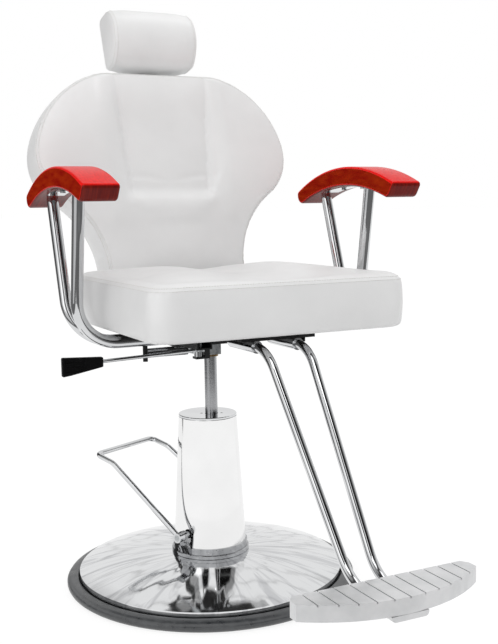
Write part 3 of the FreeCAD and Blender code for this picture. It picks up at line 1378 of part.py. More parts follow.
def lever_spring_tube():
    """Chromed tube beside the lever, which houses its return spring."""
    y, z = -(S.lever_front - 22), S.lever_z - 1
    outer, inner, wall = S.spring_tube_outer, S.spring_tube_inner, 2.0
    body = lying("spring_tube", S.spring_tube_rad, (-outer, y, z), (-inner, y, z), "x")
    clamp = block("spring_tube_clamp", (-(inner + 28), y - 6, z + S.spring_tube_rad - 4),
                  (-(inner + 6), y + 6, S.mid_plate_z))
    room = lying("spring_tube_room", S.spring_tube_rad - wall, (-(outer + 1), y, z),
                 (-(inner + 14), y, z), "x")
    node(cut("lever_spring_tube", fused("spring_tube_solid", [body, clamp]), [room]),
         "lever_spring_tube")


# The recline hinge and the back

def hinge_pin():
    """Pin through both rail lugs and the tube of the back frame."""
    end = S.rail_mid + S.rail_wide / 2
    pin = lying("pin_shank", S.hinge_rad, (-(end + 1), S.hinge_y, S.hinge_z),
                (end + 1, S.hinge_y, S.hinge_z), "x")
    heads = [lying("pin_head_%d" % turn, S.hinge_rad + 3, (start, S.hinge_y, S.hinge_z),
                   (start + 4, S.hinge_y, S.hinge_z), "x")
             for turn, start in enumerate((-(end + 4), end))]
    node(fused("hinge_pin", [pin] + heads), "hinge_pin")


def back_frame_steel():
    """Steel frame of the back: tube on the pin, two flat arms up the back, and the lock's crank."""
    y, z = num(S.hinge_y), num(S.hinge_z)
    long = num(S.back_arm_mid + S.back_arm_wide / 2) + 1
    tube_rad, bore = num(S.hinge_tube_rad), num(S.hinge_rad + S.running)
    whole = Part.makeCylinder(tube_rad, 2 * long, Vec(-long, y, z), Vec(1, 0, 0))
    lean = back_frame()
    hinge = lean.inverse().multVec(Vec(0, y, z))
    wide, thick = num(S.back_arm_wide), num(S.back_arm_thick)
    for side in (1, -1):
        arm = Part.makeBox(wide, thick, num(S.back_arm_top) - hinge.z,
                           Vec(num(S.back_arm_mid) * side - wide / 2, num(S.back_rear), hinge.z))
        arm.Placement = lean
        whole = whole.fuse(arm)
    pin_y, pin_z = [num(value) for value in crank_pin_spot()]
    mid = -num(S.lock_side)
    for start in (mid - 10, mid + 4):
        cheek = link_plate((y, z), (pin_y, pin_z), 12.0, 8.0, start, 6.0)
        whole = whole.fuse(cheek)
    whole = whole.fuse(Part.makeCylinder(num(S.crank_pin_rad), 20.0, Vec(mid - 10, pin_y, pin_z),
                                         Vec(1, 0, 0)))
    hole = Part.makeCylinder(bore, 2 * long + 2, Vec(-long - 1, y, z), Vec(1, 0, 0))
    shaped("back_frame", whole.removeSplitter().cut(hole))


def link_plate(top, foot, top_rad, foot_rad, x, thick):
    """A flat link across X between two round ends given as (Y, Z)."""
    along = Vec(0, foot[0] - top[0], foot[1] - top[1])
    across = Vec(0, along.z, -along.y).normalize()
    start, end = Vec(x, *top), Vec(x, *foot)
    corners = [start + across * top_rad, end + across * foot_rad,
               end - across * foot_rad, start - across * top_rad]
    link = Part.Face(Part.makePolygon(corners + corners[:1])).extrude(Vec(thick, 0, 0))
    return link.fuse([Part.makeCylinder(top_rad, thick, start, Vec(1, 0, 0)),
                      Part.makeCylinder(foot_rad, thick, end, Vec(1, 0, 0))])


def back_wire(inset, depth):
    """Outline of the back at one depth, drawn in by an inset.

    Each side runs up the waist, out on a hollow arc, round the wing on a tight arc and back in
    on a wide one to the level top, every arc tangent to the next.
    """
    waist, wing = num(S.waist_half), num(S.wing_half)
    foot, top, wing_up = num(S.back_foot) + inset, num(S.back_top) - inset, num(S.wing_up)
    start_up, wing_rad = num(S.waist_up), num(S.wing_rad)
    wing_mid = Vec(wing - wing_rad, 0, wing_up)
    rise = wing_up - start_up
    gap = wing_mid.x - waist
    hollow_rad = (gap * gap + rise * rise - wing_rad ** 2) / (2 * (gap + wing_rad))
    hollow_mid = Vec(waist + hollow_rad, 0, start_up)
    slope = math.radians(num(S.top_slope))
    ahead = Vec(math.cos(slope), 0, math.sin(slope))
    end = Vec(num(S.back_top_half), 0, num(S.back_top)) - wing_mid
    along = end.dot(ahead)
    top_rad = (2 * wing_rad * along - end.Length ** 2 - wing_rad ** 2) / (2 * (along - wing_rad))
    top_mid = wing_mid - ahead * (top_rad - wing_rad)
    outer = top_rad - inset
    crest = Vec(top_mid.x + math.sqrt(outer ** 2 - (top - top_mid.z) ** 2), 0, top)
    join = wing_mid + (hollow_mid - wing_mid).normalize() * (wing_rad - inset)
    turn = wing_mid + ahead * (wing_rad - inset)
    side = waist - inset
    corner = 18.0
    cut_in = corner * (1 - math.sqrt(0.5))
    half = [
        (Vec(0, 0, foot), None, Vec(side - corner, 0, foot)),
        (None, Vec(side - cut_in, 0, foot + cut_in), Vec(side, 0, foot + corner)),
        (None, None, Vec(side, 0, start_up)),
        (None, on_arc(hollow_mid, Vec(side, 0, start_up), join), join),
        (None, on_arc(wing_mid, join, turn), turn),
        (None, on_arc(top_mid, turn, crest), crest),
        (None, None, Vec(0, 0, top)),
    ]
    right = []
    here = half[0][0]
    for _, middle, there in half:
        right.append((here, middle, there))
        here = there
    edges = []
    for mirror in (1, -1):
        run = right if mirror > 0 else [(end, middle, start) for start, middle, end in right[::-1]]
        for start, middle, end in run:
            spots = [Vec(spot.x * mirror, depth, spot.z)
                     for spot in (start, middle, end) if spot is not None]
            if len(spots) == 3:
                edges.append(Part.Arc(*spots).toShape())
            else:
                edges.append(Part.LineSegment(*spots).toShape())
    return Part.Wire(edges)


def on_arc(centre, start, end):
    """The middle of the short arc between two points about a centre."""
    middle = (start + end) * 0.5 - centre
    return centre + middle.normalize() * (start - centre).Length


def back_board():
    """Plywood board inside the back."""
    depth = num(S.back_rear - S.cover_thick - S.board_back_thick)
    sheet = Part.Face(back_wire(24.0, depth)).extrude(Vec(0, num(S.board_back_thick), 0))
    shaped("back_board", sheet, back_frame())


def back_cover():
    """Thin upholstered cover over the rear of the back."""
    depth = num(S.back_rear - S.cover_thick)
    sheet = Part.Face(back_wire(7.0, depth)).extrude(Vec(0, num(S.cover_thick), 0))
    shaped("back_cover", sheet, back_frame())


def guide_box(play):
    """Outer box of the headrest guide, grown by a play, as a low corner and three lengths."""
    wall = num(S.guide_wall)
    wide = num(S.bar_wide) + 2 * wall
    thick = num(S.bar_thick) + 2 * wall
    rear = num(S.back_rear - S.cover_thick - S.board_back_thick)
    low = Vec(-wide / 2 - play, rear - thick - play, num(S.guide_foot) - play)
    return low, (wide + 2 * play, thick + play, num(S.back_top) - num(S.guide_foot) + play)


def back_cushion():
    """Upholstered back: boxed edge, crowned wings, a panel sunk between them and a lumbar roll."""
    rear = num(S.back_rear - S.cover_thick)
    seam, crown = -num(S.back_front), num(S.back_crown)
    levels = [(rear, 5.0)] + swelled(rear - 5, seam + 3, 2.0) + [(seam, 1.5)]
    levels += domed(seam, -crown, 60.0, 1.5)
    shape = Part.makeLoft([back_wire(inset, depth) for depth, inset in levels], True, True)
    front = seam - crown
    crease, swell = front + num(S.panel_sink), num(S.panel_swell)
    valley = across_back([(front - 1, -20.0), (front + 6, -11.0), (crease - 4, -2.0),
                          (crease, 3.0)])
    panel = across_back([(crease + 3, 4.0), (crease - swell * 0.6, 9.0),
                         (crease - swell * 0.9, 20.0), (crease - swell, 40.0)])
    radius = num(S.lumbar_rad)
    reach = num(S.panel_half) + 8
    roll = Part.makeCylinder(radius, 2 * reach, Vec(-reach, front + radius - num(S.lumbar_proud),
                                                    num(S.lumbar_up)), Vec(1, 0, 0))
    shape = shape.cut(valley).fuse([panel, roll])
    board = Part.Face(back_wire(24.0 - num(S.loose), rear + 1))
    depth = num(S.board_back_thick + S.loose) + 1
    shape = shape.cut(board.extrude(Vec(0, -depth, 0)))
    corner, lengths = guide_box(num(S.loose))
    wide, thick, tall = lengths
    shape = shape.cut(Part.makeBox(wide, thick, tall + 5, corner))
    shaped("back_cushion", shape, back_frame())


def across_back(levels):
    """The middle panel's outline lofted through levels of (depth, inset)."""
    half, low, high = num(S.panel_half), num(S.panel_low), num(S.panel_high)
    solid = Part.makeLoft([
        rounded_box_wire(half - inset, low + inset, high - inset, max(24 - inset / 2, 6.0), -depth)
        for depth, inset in levels], True, True)
    solid.rotate(Vec(0, 0, 0), Vec(1, 0, 0), 90)
    return solid


def headrest_guide():
    """Rectangular sleeve on the board, open at the top, in which the headrest bar slides."""
    corner, (wide, thick, tall) = guide_box(0.0)
    wall, play = num(S.guide_wall), num(S.running)
    sleeve = Part.makeBox(wide, thick, tall, corner)
    room = Part.makeBox(num(S.bar_wide) + 2 * play, num(S.bar_thick) + 2 * play, tall,
                        corner + Vec(wall - play, wall - play, wall))
    shaped("headrest_guide", sleeve.cut(room), back_frame())


# The headrest

def headrest_bar():
    """Flat bar between the guide and the headrest's core."""
    corner, _ = guide_box(0.0)
    wall = num(S.guide_wall)
    bar = Part.makeBox(num(S.bar_wide), num(S.bar_thick), num(S.head_foot + 60) - num(S.bar_foot),
                       Vec(corner.x + wall, corner.y + wall, num(S.bar_foot)))
    shaped("headrest_bar", bar, back_frame())


def head_wire(inset, x):
    """Side view of the headrest at one X: straight leaning rear, round front, drawn in."""
    foot, top = num(S.head_foot) + inset, num(S.head_foot + S.head_tall) - inset
    lean = num(S.head_rear_top - S.head_rear_foot) / num(S.head_tall)
    rear_foot = num(S.head_rear_foot) - inset
    rear_top = rear_foot + lean * (top - foot)
    ends = num(S.head_chord) + inset * 0.4
    front = num(S.head_chord - S.head_belly) + inset
    foot_rad, top_rad = 9.0, 15.0
    spots = [
        ((rear_foot - foot_rad, foot), (ends, foot)),
        ((ends, top), (rear_top - top_rad, top)),
        ((rear_top - lean * top_rad, top - top_rad), (rear_foot + lean * foot_rad, foot + foot_rad)),
    ]
    middles = [
        (front, (foot + top) / 2),
        (rear_top - 0.3 * top_rad - lean * 4, top - 0.3 * top_rad),
        (rear_foot - 0.3 * foot_rad, foot + 0.3 * foot_rad),
    ]
    edges = []
    for index, (start, end) in enumerate(spots):
        after = spots[(index + 1) % 3][0]
        edges.append(Part.LineSegment(Vec(x, *start), Vec(x, *end)).toShape())
        edges.append(Part.Arc(Vec(x, *end), Vec(x, *middles[index]), Vec(x, *after)).toShape())
    return Part.Wire(edges)


def core_box(play):
    """The headrest's core, grown by a play, set so that the bar stands in it."""
    half = num(S.head_half) - 36 + play
    corner, (_, thick, _) = guide_box(0.0)
    thick_core = num(S.core_thick)
    low_y = corner.y + thick / 2 - thick_core / 2 - 8
    return Part.makeBox(2 * half, thick_core + 2 * play, num(S.head_tall) - 48 + 2 * play,
                        Vec(-half, low_y - play, num(S.head_foot) + 24 - play))


def headrest_core():
    """Board core of the headrest with the slot that holds the bar."""
    corner, _ = guide_box(0.0)
    wall = num(S.guide_wall)
    slot = Part.makeBox(num(S.bar_wide), num(S.bar_thick), num(S.head_foot + 60),
                        Vec(corner.x + wall, corner.y + wall, 0))
    shaped("headrest_core", core_box(0.0).cut(slot), back_frame())


def headrest_cushion():
    """Bolster with domed ends, lofted from end to end through its side view."""
    half = num(S.head_half)
    ends = [(-half, 14.0), (-half + 2, 6.0), (-half + 4.5, 2.0), (-half + 8, 3.5),
            (-half + 36, 0.8), (0, 0.0)]
    ends += [(-x, inset) for x, inset in ends[-2::-1]]
    shape = Part.makeLoft([head_wire(inset, x) for x, inset in ends], True, True)
    corner, _ = guide_box(0.0)
    wall, play = num(S.guide_wall), num(S.loose)
    slit = Part.makeBox(num(S.bar_wide) + 2 * play, num(S.bar_thick) + 2 * play, 60.0,
                        Vec(corner.x + wall - play, corner.y + wall - play,
                            num(S.head_foot) - 10))
    shape = shape.cut(core_box(play)).cut(slit)
    shaped("headrest_cushion", shape, back_frame())


def write_all():
    """Check every object, then write each sub-part to its own file."""
    DOC.recompute()
    faults = [thing.Label for thing in DOC.Objects
              if "Invalid" in thing.State or "Error" in thing.State]
    for piece in NODES:
        if piece.Shape.isNull() or not piece.Shape.isValid() or not piece.Shape.Solids:
            faults.append(piece.Label)
    if faults:
        raise ValueError("faulty: " + ", ".join(faults))
    os.makedirs("parts", exist_ok=True)
    for piece in NODES:
        piece.Shape.exportStep("parts/%s.step" % piece.Label)
    print("%d sub-parts written" % len(NODES))


MAKERS = [
    rubber_ring, ballast_plate, base_dish, centre_spacer, pump_block, base_bolts, pump_flange,
    pump_cylinder, oil_reservoir, gland_head, shroud, shroud_cap,
    pedal_yoke, pedal_bar, pump_plunger, return_spring,
    ram, ram_piston, swivel_washer,
    hub_socket, seat_frame, seat_bolts, seat_board, seat_cushion,
    armrests, arm_straps, arm_screws, arm_tubes,
    footrest_plate, footrest_sockets, footrest_tubes, footplate, footplate_clamp, footplate_bolts,
    lock_cylinder, lock_rod, lever_bracket, lever_rod, lever_paddle, lever_stud,
    lever_spring_tube,
    hinge_pin, back_frame_steel, back_board, back_cover, back_cushion, headrest_guide,
    headrest_bar, headrest_core, headrest_cushion,
]

for make in MAKERS:
    make()
write_all()
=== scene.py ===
"""Looks of the hydraulic barber chair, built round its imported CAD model.

The chair faces -Y, +Z is up, and the origin is on the floor under the swivel axis. The chair's
lengths are written in millimetres and turned to metres by MM where they are used, and those of
the studio are in metres.
"""

import itertools
import math

import bmesh
import bpy
import numpy as np
from mathutils import Matrix, Vector


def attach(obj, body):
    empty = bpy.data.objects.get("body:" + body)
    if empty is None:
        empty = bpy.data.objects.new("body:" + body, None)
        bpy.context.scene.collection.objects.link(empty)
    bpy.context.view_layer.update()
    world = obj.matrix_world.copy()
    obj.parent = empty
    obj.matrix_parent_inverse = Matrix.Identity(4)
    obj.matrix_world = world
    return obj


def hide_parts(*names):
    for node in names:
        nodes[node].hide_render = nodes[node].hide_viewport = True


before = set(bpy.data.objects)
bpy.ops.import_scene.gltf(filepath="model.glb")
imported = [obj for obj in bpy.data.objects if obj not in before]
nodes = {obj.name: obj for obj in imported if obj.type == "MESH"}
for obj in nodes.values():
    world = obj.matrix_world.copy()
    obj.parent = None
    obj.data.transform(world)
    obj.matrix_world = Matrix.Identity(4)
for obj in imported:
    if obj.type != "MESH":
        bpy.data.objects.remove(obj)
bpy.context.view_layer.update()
scene = bpy.context.scene

MM = 0.001

# Camera

CAMERA_SPOT = (-808.8, -1817.1, 753.0)
CAMERA_YAW = -26.25
CAMERA_DIP = 6.63
CAMERA_ROLL = -0.98
CAMERA_LENS, CAMERA_SENSOR = 56.36, 36.0


def make_camera():
    """Camera from its spot, its turn about the vertical, its dip below level and its roll."""
    lens = bpy.data.cameras.new("photo_camera")
    lens.lens = CAMERA_LENS
    lens.sensor_width = CAMERA_SENSOR
    camera = bpy.data.objects.new("photo_camera", lens)
    placed = Matrix.Translation(Vector(CAMERA_SPOT) * MM)
    for degrees, axis in ((CAMERA_YAW, "Z"), (90 - CAMERA_DIP, "X"), (CAMERA_ROLL, "Z")):
        placed @= Matrix.Rotation(math.radians(degrees), 4, axis)
    camera.matrix_world = placed
    scene.collection.objects.link(camera)
    scene.camera = camera


make_camera()

# Nodes and colours of the materials


def colour(code):
    """Linear colour of an sRGB hex code."""
    parts = [int(code[at:at + 2], 16) / 255 for at in (0, 2, 4)]
    return [p / 12.92 if p <= 0.04045 else ((p + 0.055) / 1.055) ** 2.4 for p in parts] + [1.0]


def add(tree, kind, sockets=None, **settings):
    """Adds a shader node with its settings, and gives each socket a value or links an output."""
    made = tree.nodes.new("ShaderNode" + kind)
    for name, value in settings.items():
        setattr(made, name, value)
    for name, value in (sockets or {}).items():
        if isinstance(value, bpy.types.NodeSocket):
            tree.links.new(value, made.inputs[name])
        else:
            made.inputs[name].default_value = value
    return made


def blank(name, **constants):
    """A material with one shader, its constants set on the shader's own sockets."""
    made = bpy.data.materials.new(name)
    made.use_nodes = True
    tree = made.node_tree
    tree.nodes.clear()
    shader = add(tree, "BsdfPrincipled")
    for name, value in constants.items():
        shader.inputs[name.replace("_", " ")].default_value = value
    add(tree, "OutputMaterial", {"Surface": shader.outputs["BSDF"]})
    place = add(tree, "TexCoord").outputs["Object"]
    return made, tree, shader, place


def cloud(place, size, detail=2.0, stretch=(1, 1, 1), roughness=0.5):
    """Soft noise whose blobs are about the given size in millimetres, stretched along axes."""
    tree = place.id_data
    scale = [1 / (size * MM * s) for s in stretch]
    laid = add(tree, "Mapping", {"Vector": place, "Scale": scale})
    noise = add(tree, "TexNoise", {"Vector": laid.outputs[0], "Scale": 1.0,
                                   "Detail": detail, "Roughness": roughness})
    return noise.outputs["Fac"]


def between(share, low, high, start=0.3, end=0.7):
    """A colour that goes from low to high as the share goes from start to end."""
    ramp = add(share.id_data, "ValToRGB", {"Fac": share})
    stops = ramp.color_ramp.elements
    stops[0].position, stops[0].color = start, colour(low)
    stops[1].position, stops[1].color = end, colour(high)
    return ramp.outputs["Color"]


def ranged(share, low, high, start=0.3, end=0.7):
    """A number that goes from low to high as the share goes from start to end."""
    return add(share.id_data, "MapRange", {"Value": share, "From Min": start, "From Max": end,
                                           "To Min": low, "To Max": high}).outputs["Result"]


def sums(how, first, second):
    """Arithmetic on an output and a number or another output."""
    return add(first.id_data, "Math", {0: first, 1: second}, operation=how).outputs[0]


def relief(height, depth, over=None):
    """Bump of the given depth in millimetres, laid over another bump."""
    sockets = {"Height": height, "Distance": depth * MM, "Strength": 1.0}
    if over is not None:
        sockets["Normal"] = over
    return add(height.id_data, "Bump", sockets).outputs["Normal"]


def wire(shader, **outputs):
    """Links outputs to the shader's sockets."""
    for name, output in outputs.items():
        shader.id_data.links.new(output, shader.inputs[name.replace("_", " ")])


def noisy(name, tint, codes, wear, dull, rise, depth, **constants):
    """A material of three noises, each given as its size and what else cloud takes.

    The first goes between two colours, the second between two roughnesses, and the third is
    relief of a depth in millimetres. Noises that are equal share one node.
    """
    made, _, shader, place = blank(name, **constants)
    noises = {noise: cloud(place, *noise) for noise in dict.fromkeys((tint, wear, rise))}
    wire(shader,
         Base_Color=between(noises[tint], *codes),
         Roughness=ranged(noises[wear], *dull),
         Normal=relief(noises[rise], depth))
    return made


# Finishes


def polished_chrome():
    """Bright chromium plate on polished steel: a mirror with a slow waviness and faint smears."""
    return noisy("polished_chrome", (70,), ("CDCED0", "DCDDDE"), (28, 3.0), (0.02, 0.07),
                 (22, 1.0), 0.05, Metallic=1.0)


def buffed_chrome():
    """Chrome on the drawn shroud, buffed after plating: bright, with soft edges in its mirror."""
    return noisy("buffed_chrome", (80,), ("EFEFEF", "F5F5F5"), (6, 3.0, (1, 1, 9)), (0.05, 0.09),
                 (40, 1.0), 0.04, Metallic=1.0)


def spun_chrome():
    """Chrome on a spun dish: fine rings from the spinning, soft waves and faint wipe marks.

    The rings are noise on the distance from the dish's middle. The waves and the wipe marks are
    noise on the direction from it, so that each nearly keeps its value along a ray.
    """
    made, tree, shader, place = blank("spun_chrome", Metallic=1.0)
    flat = add(tree, "VectorMath", {0: place, 1: (1, 1, 0)}, operation="MULTIPLY")
    far = add(tree, "VectorMath", {0: flat.outputs[0]}, operation="LENGTH")
    ray = add(tree, "VectorMath", {0: flat.outputs[0]}, operation="NORMALIZE")
    apart = add(tree, "CombineXYZ", {"Z": sums("MULTIPLY", far.outputs["Value"], 4.0)})
    spread = add(tree, "VectorMath", {0: ray.outputs[0], 1: (6, 6, 6)}, operation="MULTIPLY")
    polar = add(tree, "VectorMath", {0: spread.outputs[0], 1: apart.outputs[0]})
    waves = add(tree, "TexNoise", {"Vector": polar.outputs[0], "Scale": 1.0, "Detail": 0.5})
    rings = add(tree, "TexNoise", {"W": far.outputs["Value"], "Scale": 700.0, "Detail": 1.0},
                noise_dimensions="1D")
    fanned = add(tree, "VectorMath", {0: polar.outputs[0], 1: (1.7, 1.7, 1.6)},
                 operation="MULTIPLY")
    wipes = add(tree, "TexNoise", {"Vector": fanned.outputs[0], "Scale": 1.0,
                                   "Detail": 3.0, "Distortion": 1.1})
    waved = relief(waves.outputs["Fac"], 1.6)
    wire(shader,
         Base_Color=between(wipes.outputs["Fac"], "CBCCCE", "E4E5E6", 0.36, 0.48),
         Roughness=ranged(cloud(place, 45, 3.0), 0.03, 0.09),
         Normal=relief(rings.outputs["Fac"], 0.012, waved))
    return made


def cast_chrome():
    """Chrome on the cast collar of the base: a mirror whose unevenness breaks up what it shows."""
    return noisy("cast_chrome", (30,), ("9A9B9D", "BCBDBF"), (12, 3.0), (0.03, 0.1),
                 (10, 1.5), 1.1, Metallic=1.0)


def ground_steel():
    """Ram steel, ground between centres: satin grey with fine rings across its length."""
    rings = (1.2, 2.0, (60, 60, 1))
    return noisy("ground_steel", rings, ("A2A3A5", "AEAFB1"), rings, (0.22, 0.3), rings, 0.004,
                 Metallic=1.0)


def zinc_steel():
    """Zinc plated steel: cool grey, slightly cloudy, duller where the plate is thin."""
    patches = (9, 4.0)
    return noisy("zinc_steel", patches, ("A3A6A8", "C6C9CA"), patches, (0.24, 0.42),
                 (1.5, 2.0), 0.03, Metallic=1.0)


def sand_cast_iron():
    """Bare sand cast iron: dark grey, matt, with the grain of the sand mould."""
    grain = (1.4, 4.0, (1, 1, 1), 0.65)
    return noisy("sand_cast_iron", (25, 3.0), ("2F2E2D", "4A4846"), grain, (0.6, 0.85),
                 grain, 0.35, Metallic=0.6)


def tank_enamel():
    """Grey stoving enamel on the oil tank: a soft gloss with a little orange peel."""
    peel = (2.2, 1.0)
    return noisy("tank_enamel", (60, 3.0), ("4C5054", "595E62"), peel, (0.35, 0.5), peel, 0.05,
                 Coat_Weight=0.3, Coat_Roughness=0.15)


def bearing_bronze():
    """Turned bearing bronze: warm, satin, with tool rings."""
    rings = (1.0, 1.0, (40, 40, 1))
    return noisy("bearing_bronze", (12, 3.0), ("6B573C", "8C7450"), rings, (0.25, 0.45),
                 rings, 0.03, Metallic=1.0)


def black_powder_coat():
    """Black polyester powder coat: low gloss, with the fine orange peel of the baked powder."""
    peel = (1.6, 2.0)
    return noisy("black_powder_coat", (30, 3.0), ("0C0C0D", "161617"), peel, (0.32, 0.5),
                 peel, 0.06)


def birch_plywood():
    """Birch plywood: pale face veneer with long grain, and thin darker glue lines in its edge."""
    made, tree, shader, place = blank("birch_plywood")
    grain = cloud(place, 3.0, 5.0, (14, 1, 1))
    plies = add(tree, "TexWave", {"Vector": place, "Scale": 110.0, "Distortion": 0.4},
                bands_direction="Z")
    edge = sums("MULTIPLY", plies.outputs["Fac"], 0.35)
    wire(shader,
         Base_Color=between(sums("SUBTRACT", grain, edge), "8F6B42", "C6A071", 0.05, 0.6),
         Roughness=ranged(grain, 0.5, 0.7),
         Normal=relief(grain, 0.1))
    return made


def stained_plywood():
    """Plywood stained black before it is covered: matt, with the grain just showing."""
    grain = (3.0, 5.0, (14, 1, 1))
    return noisy("stained_plywood", grain, ("0F0D0C", "1F1B18"), grain, (0.55, 0.75), grain, 0.1)


def red_lacquer():
    """Face veneer of bent beech, stained bright red under a clear gloss lacquer.

    The ends, where the plies are cut across, take the stain darker. The same dark colour is
    painted shade on the faces turned downwards, the more so the lower they face. Which is which
    comes from the object's own normal.
    """
    made, tree, shader, place = blank("red_lacquer", Roughness=0.4, Coat_Weight=0.25,
                                      Coat_Roughness=0.04, Specular_IOR_Level=0.05)
    normal = tree.nodes["Texture Coordinate"].outputs["Normal"]
    facing = add(tree, "SeparateXYZ", {"Vector": normal})
    ahead = sums("ABSOLUTE", facing.outputs["Y"], 0)
    # Painted shade: faces turned down take the dark colour too, besides the cut ends facing along
    # Y.
    ends_and_painted_shade = ranged(sums("SUBTRACT", ahead, facing.outputs["Z"]), 0, 1, 0.05, 0.75)
    grain = cloud(place, 2.4, 4.0, (1, 16, 16))
    along = cloud(place, 3.0, 3.0, (1, 12, 1))
    face = between(along, "D40500", "F20D04", 0.25, 0.75)
    # Dark colour of the cut ends, also painted as shade on the faces turned down.
    ends = between(grain, "52090A", "7A1A0C")
    shown = add(tree, "Mix", {0: ends_and_painted_shade, 6: face, 7: ends}, data_type="RGBA")
    wire(shader, Base_Color=shown.outputs[2],
         Normal=relief(along, 0.03),
         Coat_Normal=relief(cloud(place, 18, 1.0), 0.06))
    return made


def sawn_lacquer():
    """Sawn side of the bent laminate, stained and rubbed down: brown red and dull.

    Its grain runs along the pad and is drawn wider than the real plies, which don't show.
    """
    flow = (9.0, 5.0, (1, 4, 1))
    return noisy("sawn_lacquer", flow, ("82110A", "9A2A0D"), flow, (0.5, 0.65),
                 (4.0, 3.0, (1, 8, 1)), 0.04, Specular_IOR_Level=0.0)


def tumbled_aluminium():
    """Cast aluminium, tumbled to a satin: light grey with the faint grain of the casting."""
    grain = (1.1, 3.0)
    return noisy("tumbled_aluminium", (35, 3.0), ("D6D7D8", "E6E6E7"), grain, (0.3, 0.45),
                 grain, 0.08, Metallic=0.75)


def moulded_grip():
    """Black moulded nylon grip: low gloss, with a spark eroded grain from its mould."""
    grain = (0.9, 3.0)
    return noisy("moulded_grip", (14, 2.0), ("030304", "080809"), grain, (0.34, 0.55),
                 grain, 0.09, Specular_IOR_Level=0.12)


def ring_rubber():
    """Moulded rubber of the floor ring: dark grey with a soft gloss, a little dusty."""
    dust = (16, 5.0)
    return noisy("ring_rubber", dust, ("2E3033", "484A4C"), dust, (0.24, 0.45),
                 (1.5, 3.0), 0.08, Specular_IOR_Level=0.8)


def stop_rubber():
    """Black rubber of the lever's stop: matt, with a fine skin."""
    skin = (1.2, 3.0)
    return noisy("stop_rubber", skin, ("101011", "1D1D1E"), skin, (0.6, 0.8), skin, 0.08,
                 Specular_IOR_Level=0.35)


def white_vinyl():
    """White upholstery vinyl: soft sheen, a pebble grain, and painted shade darkening its seams.

    The pebbles are about 0.7 mm across and are drawn 1.5 mm across, as finer ones don't show.
    The attribute seam is 1 in a seam and falls to 0 within a few millimetres of it.
    """
    made, tree, shader, place = blank("white_vinyl", Specular_IOR_Level=0.45,
                                      Coat_Weight=0.25, Coat_Roughness=0.26)
    pebbles = add(tree, "TexVoronoi", {"Vector": place, "Scale": 1 / (1.5 * MM)},
                  feature="SMOOTH_F1")
    pull = cloud(place, 38, 3.0)
    seam = add(tree, "Attribute", attribute_name="seam").outputs["Fac"]
    hide = between(cloud(place, 120, 4.0), "E2E2E2", "E9E9E9")
    # Painted shade: the colour goes towards grey by 0.3 of the seam attribute.
    shown = add(tree, "Mix", {0: sums("MULTIPLY", seam, 0.3), 6: hide, 7: colour("A8A7A5")},
                data_type="RGBA")
    wire(shader, Base_Color=shown.outputs[2],
         Roughness=ranged(pull, 0.36, 0.5),
         Normal=relief(pebbles.outputs["Distance"], 0.05, relief(pull, 0.5)))
    return made


def bonded_thread():
    """Bonded nylon thread: off white, twisted, drawn with a twist of 1 mm."""
    made, tree, shader, place = blank("bonded_thread", Sheen_Weight=0.3)
    twist = cloud(place, 1.0, 1.0)
    wire(shader, Base_Color=between(twist, "C9C8C5", "E6E5E2"),
         Roughness=ranged(twist, 0.5, 0.7))
    return made


FINISHES = {
    polished_chrome: [
        "shroud_cap", "pedal_bar", "arm_strap_right", "arm_strap_left",
        "arm_tube_right_front", "arm_tube_right_rear", "arm_tube_left_front",
        "arm_tube_left_rear", "footrest_sockets", "footrest_tube_right", "footrest_tube_left",
        "lever_rod", "lever_spring_tube", "headrest_bar"],
    buffed_chrome: ["shroud"],
    spun_chrome: ["base_dish"],
    cast_chrome: ["pump_flange"],
    ground_steel: ["ram", "pump_cylinder", "pump_plunger", "hinge_pin", "lock_rod"],
    zinc_steel: [
        "centre_spacer", "base_bolts", "pedal_yoke", "return_spring", "hub_socket",
        "seat_bolts", "arm_screws", "footplate_bolts", "lock_cylinder", "headrest_guide"],
    sand_cast_iron: ["ballast_plate", "pump_block", "gland_head"],
    tank_enamel: ["oil_reservoir"],
    bearing_bronze: ["ram_piston", "swivel_washer"],
    black_powder_coat: ["seat_frame", "footrest_plate", "lever_bracket", "back_frame"],
    birch_plywood: ["back_board"],
    stained_plywood: ["seat_board", "headrest_core"],
    red_lacquer: ["armrest_right", "armrest_left"],
    sawn_lacquer: [],
    tumbled_aluminium: ["footplate", "footplate_clamp"],
    moulded_grip: ["lever_paddle"],
    ring_rubber: ["rubber_ring"],
    stop_rubber: ["lever_stud"],
    white_vinyl: ["seat_cushion", "back_cushion", "back_cover", "headrest_cushion"],
}


def dressed(thing, material):
    """Puts one material in every slot of an object."""
    if not thing.data.materials:
        thing.data.materials.append(material)
    for slot in thing.material_slots:
        slot.material = material


materials = {}
for finish, names in FINISHES.items():
    materials[finish.__name__] = finish()
    for name in names:
        dressed(nodes[name], materials[finish.__name__])
vinyl = materials["white_vinyl"]
thread = bonded_thread()

# The leaning frame of the back: across, rearwards through its thickness, and up along it

BACK_SPOT = (0.0, 170.0, 624.0)
BACK_LEAN = math.radians(12.4)


def leaning(points):
    """World places, in metres, of points in the back's frame, in millimetres."""
    across, deep, up = np.moveaxis(np.asarray(points, float), -1, 0)
    y = BACK_SPOT[1] + deep * math.cos(BACK_LEAN) + up * math.sin(BACK_LEAN)
    z = BACK_SPOT[2] - deep * math.sin(BACK_LEAN) + up * math.cos(BACK_LEAN)
    return np.stack([across, y, z], -1) * MM


def upright(points):
    """Points in the back's frame, in millimetres, of world places in metres."""
    x, y, z = np.moveaxis(np.asarray(points, float) / MM, -1, 0)
    y, z = y - BACK_SPOT[1], z - BACK_SPOT[2]
    deep = y * math.cos(BACK_LEAN) - z * math.sin(BACK_LEAN)
    up = y * math.sin(BACK_LEAN) + z * math.cos(BACK_LEAN)
    return np.stack([x, deep, up], -1)


# Lines


